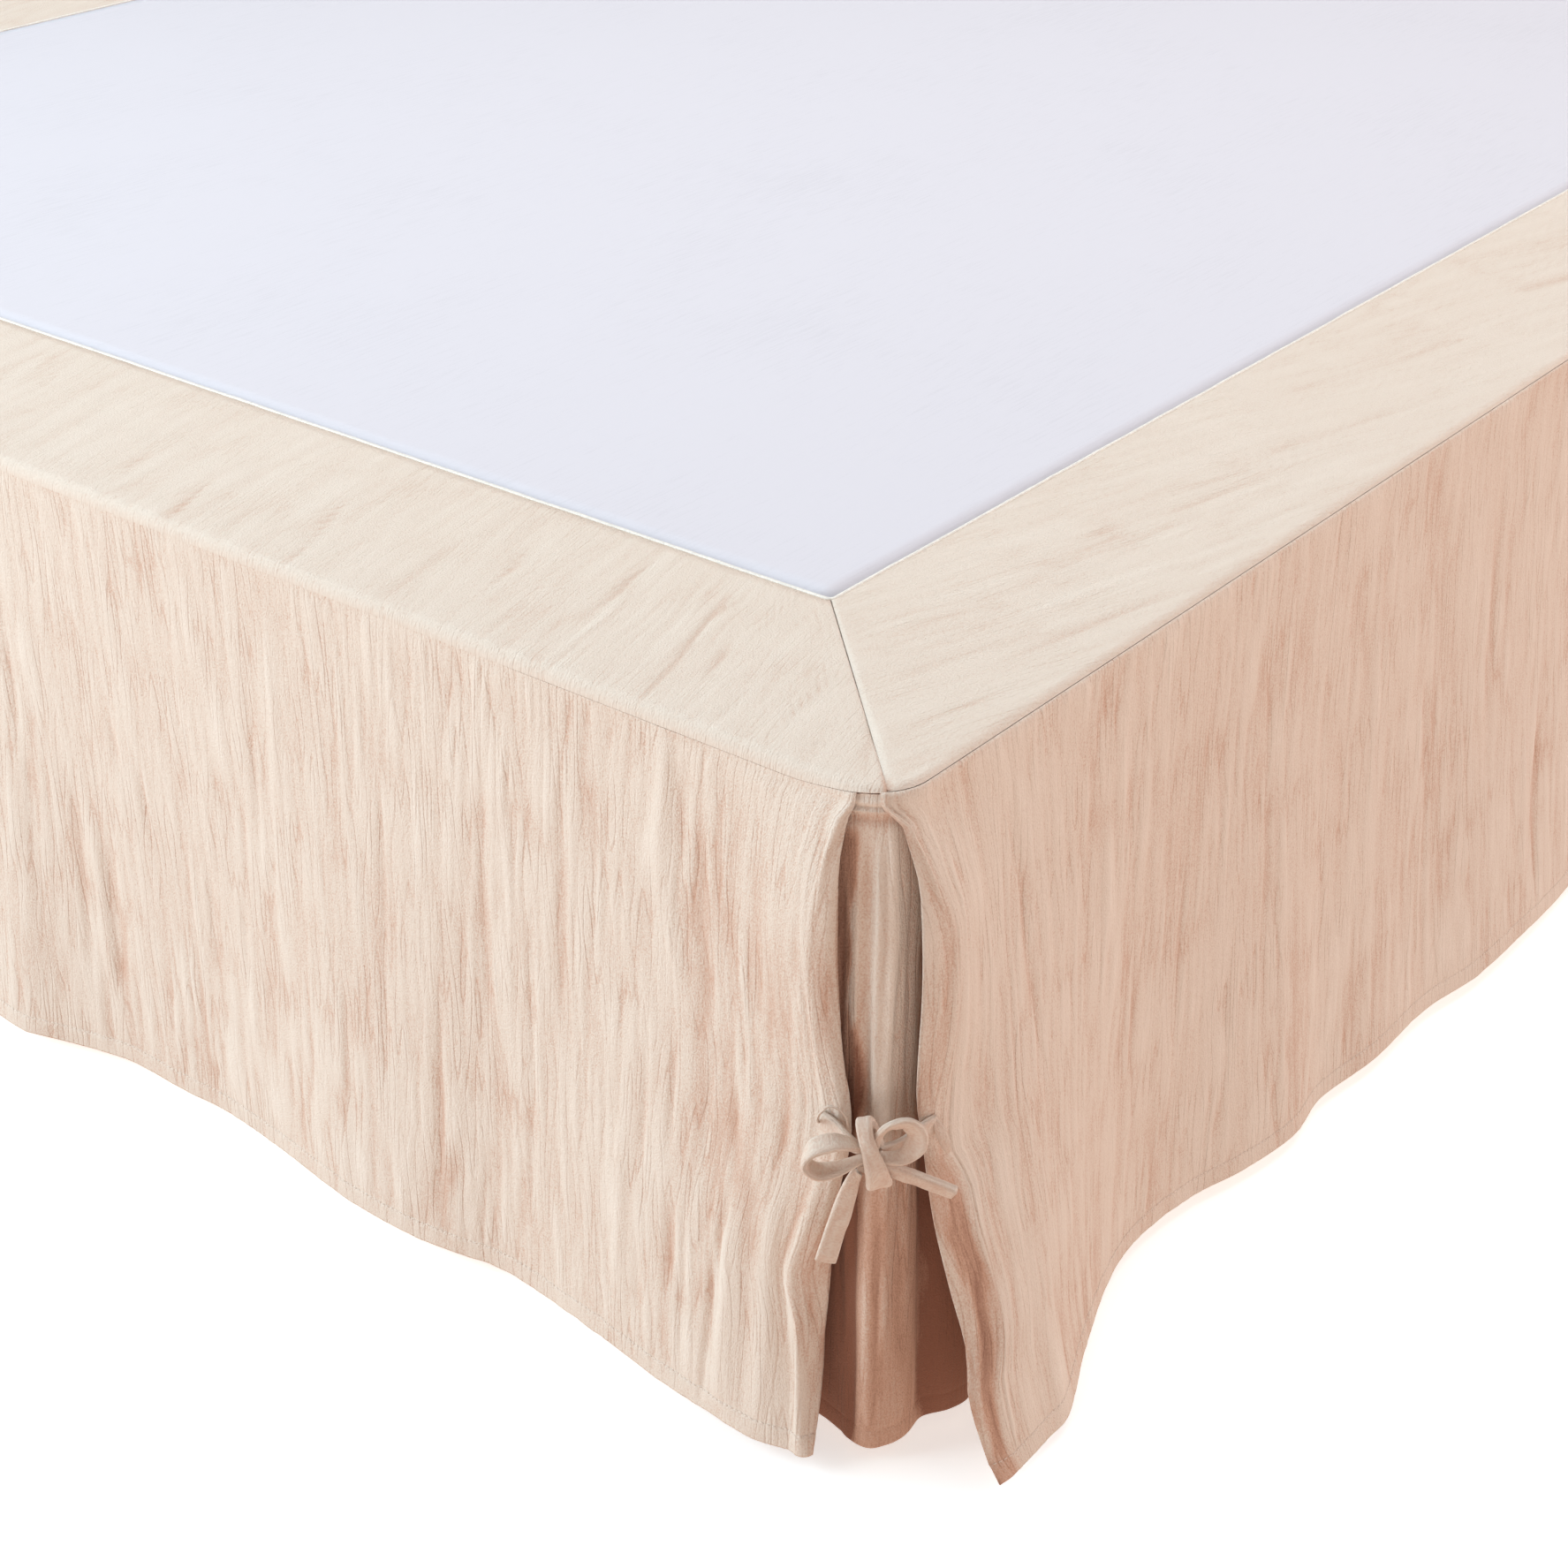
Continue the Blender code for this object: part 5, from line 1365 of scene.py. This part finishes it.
def woven_ticking(name, colour):
    """Cotton ticking, a tight twill: matt, with fine slanting ribs."""
    material, tree = new_material(name)
    place = add_node(tree, "ShaderNodeTexCoord").outputs["Object"]
    # Twill ribs drawn at 3 mm, where real ones lie at 0.8 mm
    ribs = add_node(tree, "ShaderNodeTexWave", {
        "Vector": place, "Scale": 2 * math.pi / 0.003 / 20, "Distortion": 1.2, "Detail": 2.0,
        "Detail Scale": 2.0,
    }, wave_type="BANDS", bands_direction="DIAGONAL").outputs["Fac"]
    cloud = add_node(tree, "ShaderNodeTexNoise", {
        "Vector": place, "Scale": 9.0, "Detail": 3.0,
    }).outputs["Fac"]
    shade = add_node(tree, "ShaderNodeMath", {0: cloud, 1: 0.8, 2: ribs},
                     operation="MULTIPLY_ADD")
    tint = add_node(tree, "ShaderNodeValToRGB", {"Fac": shade.outputs[0]},
                    stops=((0.0, linear(colour, 0.86)), (1.0, linear(colour))))
    relief = add_node(tree, "ShaderNodeBump", {
        "Strength": 0.3, "Distance": 0.0006, "Height": ribs,
    })
    shader = add_node(tree, "ShaderNodeBsdfPrincipled", {
        "Base Color": tint.outputs["Color"], "Roughness": 0.85, "Specular IOR Level": 0.2,
        "Normal": relief.outputs["Normal"],
    })
    finish_material(tree, shader)
    return material


def lacquered_beech(name, colour, grain):
    """Turned beech under satin lacquer: pale straight grain with short darker flecks."""
    material, tree = new_material(name)
    place = add_node(tree, "ShaderNodeTexCoord").outputs["Object"]
    # Growth rings about 3 mm apart and flecks 0.8 mm wide, both running up the leg
    stretched = add_node(tree, "ShaderNodeMapping", {
        "Vector": place, "Scale": (330.0, 330.0, 14.0),
    })
    rings = add_node(tree, "ShaderNodeTexNoise", {
        "Vector": stretched.outputs["Vector"], "Scale": 1.0, "Detail": 3.0,
    }).outputs["Fac"]
    narrow = add_node(tree, "ShaderNodeMapping", {
        "Vector": place, "Scale": (1250.0, 1250.0, 180.0),
    })
    flecks = add_node(tree, "ShaderNodeTexNoise", {
        "Vector": narrow.outputs["Vector"], "Scale": 1.0, "Detail": 1.0,
    }).outputs["Fac"]
    shade = add_node(tree, "ShaderNodeMath", {0: flecks, 1: 0.5, 2: rings},
                     operation="MULTIPLY_ADD")
    tint = add_node(tree, "ShaderNodeValToRGB", {"Fac": shade.outputs[0]},
                    stops=((0.45, linear(grain)), (0.95, linear(colour))))
    relief = add_node(tree, "ShaderNodeBump", {
        "Strength": 0.08, "Distance": 0.0003, "Height": shade.outputs[0],
    })
    shader = add_node(tree, "ShaderNodeBsdfPrincipled", {
        "Base Color": tint.outputs["Color"], "Roughness": 0.38, "Coat Weight": 0.35,
        "Coat Roughness": 0.22, "Normal": relief.outputs["Normal"],
    })
    finish_material(tree, shader)
    return material


def matt_floor(name, colour, glow):
    """Matt painted studio floor: pale, even, with a very faint mottle."""
    material, tree = new_material(name)
    place = add_node(tree, "ShaderNodeTexCoord").outputs["Object"]
    mottle = add_node(tree, "ShaderNodeTexNoise", {
        "Vector": place, "Scale": 3.0, "Detail": 2.0,
    }).outputs["Fac"]
    tint = add_node(tree, "ShaderNodeValToRGB", {"Fac": mottle},
                    stops=((0.0, linear(colour, 0.985)), (1.0, linear(colour))))
    shader = add_node(tree, "ShaderNodeBsdfPrincipled", {
        "Base Color": tint.outputs["Color"], "Roughness": 0.95, "Specular IOR Level": 0.1,
        "Emission Color": linear(colour), "Emission Strength": glow,
    })
    finish_material(tree, shader)
    return material


def finish_piece(obj, material, slot, *nodes):
    obj.data.materials.append(material)
    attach(obj, "root")
    if nodes:
        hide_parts(*nodes)


def gauze_of(scene, drawn_flat=False):
    """The skirt's gauze, made once for the hanging pieces and once for those drawn flat."""
    name = "washed double gauze" + (" drawn flat" if drawn_flat else "")
    if name in bpy.data.materials:
        return bpy.data.materials[name]
    creased, grain = (0.45, 0.25) if drawn_flat else (1.0, 0.48)
    return double_gauze(name, scene.bed_skirt_look, creased, grain)


def hang_panel(face, scene):
    panel = make_hanging_panel(face, scene.bed_skirt_cloth)
    finish_piece(panel, gauze_of(scene), "gauze", "panel_" + face.name)


# Settings

class BedSkirtCloth(bpy.types.PropertyGroup):
    thickness: bpy.props.FloatProperty(
        name="Thickness", description="Thickness of one panel's cloth",
        default=0.0009, min=0.0004, max=0.0015, precision=4, subtype="DISTANCE")
    swell: bpy.props.FloatProperty(
        name="Swell", description="Height of the broad soft waves in the gauze",
        default=0.00055, min=0.0, max=0.003, precision=5, subtype="DISTANCE")
    crinkle: bpy.props.FloatProperty(
        name="Crinkle", description="Height of the narrow puckers in the hanging panels",
        default=0.00085, min=0.0, max=0.003, precision=5, subtype="DISTANCE")
    band_crinkle: bpy.props.FloatProperty(
        name="Band crinkle", description="Height of the narrow puckers in the border bands",
        default=0.00030, min=0.0, max=0.001, precision=5, subtype="DISTANCE")
    platform_thickness: bpy.props.FloatProperty(
        name="Platform thickness", description="Thickness of the flat cotton on top",
        default=0.0006, min=0.0003, max=0.0008, precision=4, subtype="DISTANCE")


class BedSkirtLook(bpy.types.PropertyGroup):
    # Ridge, middle and trough hold the gauze's own cream and blush, with painted light on the
    # ridges and painted shade in the troughs
    ridge: bpy.props.StringProperty(
        name="Ridge", description="Gauze on top of its puckers, as sRGB hex", default="#ede2d6")
    middle: bpy.props.StringProperty(
        name="Middle", description="Gauze between ridge and trough, as sRGB hex",
        default="#e3d4c6")
    trough: bpy.props.StringProperty(
        name="Trough", description="Gauze down in its puckers, as sRGB hex", default="#cda690")
    # Painted shade: the warm brown that stands for light bouncing at the back of the skirt's folds
    deep_fold: bpy.props.StringProperty(
        name="Painted fold shade", description="Gauze at the back of the skirt's folds, as sRGB hex",
        default="#8f6350")
    platform: bpy.props.StringProperty(
        name="Platform", description="Flat cotton on top, as sRGB hex", default="#dddae1")
    binding: bpy.props.StringProperty(
        name="Binding", description="Bound seam round the platform, as sRGB hex",
        default="#faf5ec")
    thread: bpy.props.StringProperty(
        name="Thread", description="Sewing thread, as sRGB hex", default="#f0dfd1")
    ticking: bpy.props.StringProperty(
        name="Ticking", description="Cover of the box spring, as sRGB hex", default="#ece8df")
    wood: bpy.props.StringProperty(
        name="Wood", description="Lacquered wood of the legs, as sRGB hex", default="#cfae84")
    wood_grain: bpy.props.StringProperty(
        name="Wood grain", description="Darker grain of the legs, as sRGB hex",
        default="#ab8459")
    bump: bpy.props.FloatProperty(
        name="Bump", description="Strength of the finest crinkle and weave",
        default=0.55, min=0.0, max=1.0, subtype="FACTOR")


class BedSkirtStudio(bpy.types.PropertyGroup):
    floor: bpy.props.StringProperty(
        name="Floor", description="Colour of the floor, as sRGB hex", default="#f6f6f5")
    floor_glow: bpy.props.FloatProperty(
        name="Floor glow", description="Light that the floor gives off, to stay pale",
        default=0.55, min=0.0, max=1.0)
    daylight: bpy.props.FloatProperty(
        name="Daylight", description="Strength of the even light all round",
        default=1.0, min=0.0, max=2.0)
    key: bpy.props.FloatProperty(
        name="Window", description="Power of the low light across the foot",
        default=112.0, min=0.0, max=1000.0, unit="POWER")
    top: bpy.props.FloatProperty(
        name="Overhead", description="Power of the light above", default=55.0, min=0.0,
        max=1000.0, unit="POWER")
    fill: bpy.props.FloatProperty(
        name="Fill", description="Power of the weak light on the side", default=62.0, min=0.0,
        max=1000.0, unit="POWER")
    front: bpy.props.FloatProperty(
        name="Front", description="Power of the faint light before the corner", default=30.0,
        min=0.0, max=1000.0, unit="POWER")
    lens: bpy.props.FloatProperty(
        name="Lens", description="Focal length of the camera", default=61.70, min=10.0,
        max=300.0, unit="CAMERA")


# Operators

class BED_SKIRT_OT_foot_panel(bpy.types.Operator):
    """Hang the foot panel, from one split to the other"""
    bl_idname = "bed_skirt.foot_panel"
    bl_label = "Foot Panel"

    def execute(self, context):
        hang_panel(FACES[0], context.scene)
        return {"FINISHED"}


class BED_SKIRT_OT_side_panels(bpy.types.Operator):
    """Hang the two side panels, from the splits to the bed's head"""
    bl_idname = "bed_skirt.side_panels"
    bl_label = "Side Panels"

    def execute(self, context):
        for face in SIDE_FACES:
            hang_panel(face, context.scene)
        return {"FINISHED"}


class BED_SKIRT_OT_border_bands(bpy.types.Operator):
    """Lay the three mitred bands round the platform"""
    bl_idname = "bed_skirt.border_bands"
    bl_label = "Border Bands"

    def execute(self, context):
        for face in FACES:
            band = make_border_band(face, context.scene.bed_skirt_cloth)
            finish_piece(band, gauze_of(context.scene, True), "gauze", "band_" + face.name)
        return {"FINISHED"}


class BED_SKIRT_OT_inserts(bpy.types.Operator):
    """Hang the inserts that show through the open splits"""
    bl_idname = "bed_skirt.inserts"
    bl_label = "Split Inserts"

    def execute(self, context):
        for face in SIDE_FACES:
            insert = make_insert_piece(face, context.scene.bed_skirt_cloth)
            finish_piece(insert, gauze_of(context.scene), "gauze", "insert_" + face.name)
        return {"FINISHED"}


class BED_SKIRT_OT_platform(bpy.types.Operator):
    """Lay the flat cotton on top, with the bound seam round it"""
    bl_idname = "bed_skirt.platform"
    bl_label = "Platform"

    def execute(self, context):
        look = context.scene.bed_skirt_look
        cloth = context.scene.bed_skirt_cloth
        platform = make_platform_cloth("platform_cloth", cloth.platform_thickness)
        cotton = percale_cotton("bleached cotton percale", look.platform)
        finish_piece(platform, cotton, "platform_cotton", "platform")
        binding = make_seam_binding("seam_binding")
        piping = cotton_thread("ivory cotton piping", look.binding, PIPING_TWIST)
        finish_piece(binding, piping, "platform_cotton")
        return {"FINISHED"}


class BED_SKIRT_OT_hem_stitches(bpy.types.Operator):
    """Sew the row of stitches that holds each hem"""
    bl_idname = "bed_skirt.hem_stitches"
    bl_label = "Hem Stitches"

    def execute(self, context):
        thread = cotton_thread("mercerised cotton thread", context.scene.bed_skirt_look.thread,
                               THREAD_TWIST)
        for face in FACES:
            stitches = make_hem_stitches(face, context.scene.bed_skirt_cloth)
            finish_piece(stitches, thread, "gauze")
        return {"FINISHED"}


class BED_SKIRT_OT_ties(bpy.types.Operator):
    """Tie the two bows across the splits"""
    bl_idname = "bed_skirt.ties"
    bl_label = "Bow Ties"

    def execute(self, context):
        gauze = gauze_of(context.scene, True)
        foot_parts = [ribbon(FOOT_TIE_SEWN, 61, SEWN_THICKNESS),
                      ribbon(FOOT_TIE_LOOP, 63, LOOP_THICKNESS),
                      ribbon(FOOT_TIE_TAIL, 65, TAIL_THICKNESS),
                      ribbon(THREAD_LOOP, 67, THREAD_THICKNESS)]
        side_parts = [ribbon(SIDE_TIE_SEWN, 71, SEWN_THICKNESS),
                      ribbon(SIDE_TIE_LOOP, 73, LOOP_THICKNESS),
                      ribbon(SIDE_TIE_TAIL, 75, OPEN_TAIL_THICKNESS, open_end=True),
                      ribbon(SEWN_PATCH, 79, PATCH_THICKNESS),
                      ribbon(KNOT_WRAP, 77, KNOT_THICKNESS, closed=True)]
        for name, left in (("right", False), ("left", True)):
            for kind, parts in (("foot", foot_parts), ("side", side_parts)):
                tie = make_tie("_".join((name, kind, "tie")), parts, left)
                finish_piece(tie, gauze, "gauze", "_".join(("tie", kind, name)))
        return {"FINISHED"}


class BED_SKIRT_OT_box_spring(bpy.types.Operator):
    """Give the box spring and its legs their finishes"""
    bl_idname = "bed_skirt.box_spring"
    bl_label = "Box Spring and Legs"

    def execute(self, context):
        look = context.scene.bed_skirt_look
        ticking = woven_ticking("woven cotton ticking", look.ticking)
        beech = lacquered_beech("lacquered beech", look.wood, look.wood_grain)
        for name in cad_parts:
            node = bpy.data.objects[name]
            if name == "box_spring" or name.startswith("leg_"):
                material = ticking if name == "box_spring" else beech
                for slot in node.material_slots:
                    slot.material = material
        return {"FINISHED"}


class BED_SKIRT_OT_studio(bpy.types.Operator):
    """Set up the floor, the lights and the camera"""
    bl_idname = "bed_skirt.studio"
    bl_label = "Studio"

    def execute(self, context):
        scene = context.scene
        studio = scene.bed_skirt_studio
        bm = bmesh.new()
        bmesh.ops.create_grid(bm, x_segments=2, y_segments=2, size=FLOOR_HALF)
        mesh = bpy.data.meshes.new("studio_floor")
        bm.to_mesh(mesh)
        bm.free()
        floor = bpy.data.objects.new("studio_floor", mesh)
        scene.collection.objects.link(floor)
        mesh.materials.append(matt_floor("matt studio floor", studio.floor, studio.floor_glow))
        floor.visible_diffuse = False

        corner = Vector((FACE_X, FACE_FOOT, TOP_Z))
        for row in LIGHTS:
            data = bpy.data.lights.new(row.name, "AREA")
            data.shape = "SQUARE"
            data.size = row.size
            data.energy = getattr(studio, row.power)
            data.color = row.colour
            light = bpy.data.objects.new(row.name, data)
            aim = corner + Vector(row.target)
            light.location = aim + Vector(row.towards).normalized() * row.distance
            light.rotation_euler = (aim - light.location).to_track_quat("-Z", "Y").to_euler()
            scene.collection.objects.link(light)

        world = bpy.data.worlds.new("studio daylight")
        world.use_nodes = True
        world.node_tree.nodes.clear()
        sky = add_node(world.node_tree, "ShaderNodeTexCoord").outputs["Generated"]
        height = add_node(world.node_tree, "ShaderNodeSeparateXYZ", {"Vector": sky})
        dome = add_node(world.node_tree, "ShaderNodeValToRGB", {"Fac": height.outputs["Z"]},
                        stops=((0.0, DAYLIGHT_LOW), (DAYLIGHT_HIGH_FROM, DAYLIGHT_HIGH)))
        background = add_node(world.node_tree, "ShaderNodeBackground", {
            "Color": dome.outputs["Color"], "Strength": studio.daylight,
        })
        add_node(world.node_tree, "ShaderNodeOutputWorld", {
            "Surface": background.outputs["Background"],
        })
        scene.world = world
        scene.view_settings.view_transform = "Standard"

        camera = bpy.data.objects.new("camera", bpy.data.cameras.new("camera"))
        camera.data.sensor_width = 36.0
        camera.data.lens = studio.lens
        camera.location = corner + Vector(CAMERA_FROM_CORNER)
        camera.rotation_euler = CAMERA_TURN
        scene.collection.objects.link(camera)
        scene.camera = camera
        return {"FINISHED"}


OPERATORS = (
    BED_SKIRT_OT_foot_panel,
    BED_SKIRT_OT_side_panels,
    BED_SKIRT_OT_border_bands,
    BED_SKIRT_OT_inserts,
    BED_SKIRT_OT_platform,
    BED_SKIRT_OT_hem_stitches,
    BED_SKIRT_OT_ties,
    BED_SKIRT_OT_box_spring,
    BED_SKIRT_OT_studio,
)


class BED_SKIRT_PT_panel(bpy.types.Panel):
    """The bed skirt's pieces and its studio"""
    bl_idname = "BED_SKIRT_PT_panel"
    bl_label = "Bed Skirt"
    bl_space_type = "VIEW_3D"
    bl_region_type = "UI"
    bl_category = "Bed Skirt"

    def draw(self, context):
        layout = self.layout
        for operator in OPERATORS:
            layout.operator(operator.bl_idname)
        for settings in (context.scene.bed_skirt_cloth, context.scene.bed_skirt_look,
                         context.scene.bed_skirt_studio):
            box = layout.box()
            for key in type(settings).__annotations__:
                box.prop(settings, key)


SETTINGS = {
    "bed_skirt_cloth": BedSkirtCloth,
    "bed_skirt_look": BedSkirtLook,
    "bed_skirt_studio": BedSkirtStudio,
}


def register():
    for name, settings in SETTINGS.items():
        bpy.utils.register_class(settings)
        setattr(bpy.types.Scene, name, bpy.props.PointerProperty(type=settings))
    for operator in OPERATORS:
        bpy.utils.register_class(operator)
    bpy.utils.register_class(BED_SKIRT_PT_panel)


def unregister():
    bpy.utils.unregister_class(BED_SKIRT_PT_panel)
    for operator in reversed(OPERATORS):
        bpy.utils.unregister_class(operator)
    for name, settings in SETTINGS.items():
        delattr(bpy.types.Scene, name)
        bpy.utils.unregister_class(settings)


def main():
    register()
    bpy.ops.bed_skirt.foot_panel()
    bpy.ops.bed_skirt.side_panels()
    bpy.ops.bed_skirt.border_bands()
    bpy.ops.bed_skirt.inserts()
    bpy.ops.bed_skirt.platform()
    bpy.ops.bed_skirt.hem_stitches()
    bpy.ops.bed_skirt.ties()
    bpy.ops.bed_skirt.box_spring()
    bpy.ops.bed_skirt.studio()


if __name__ == "__main__":
    main()
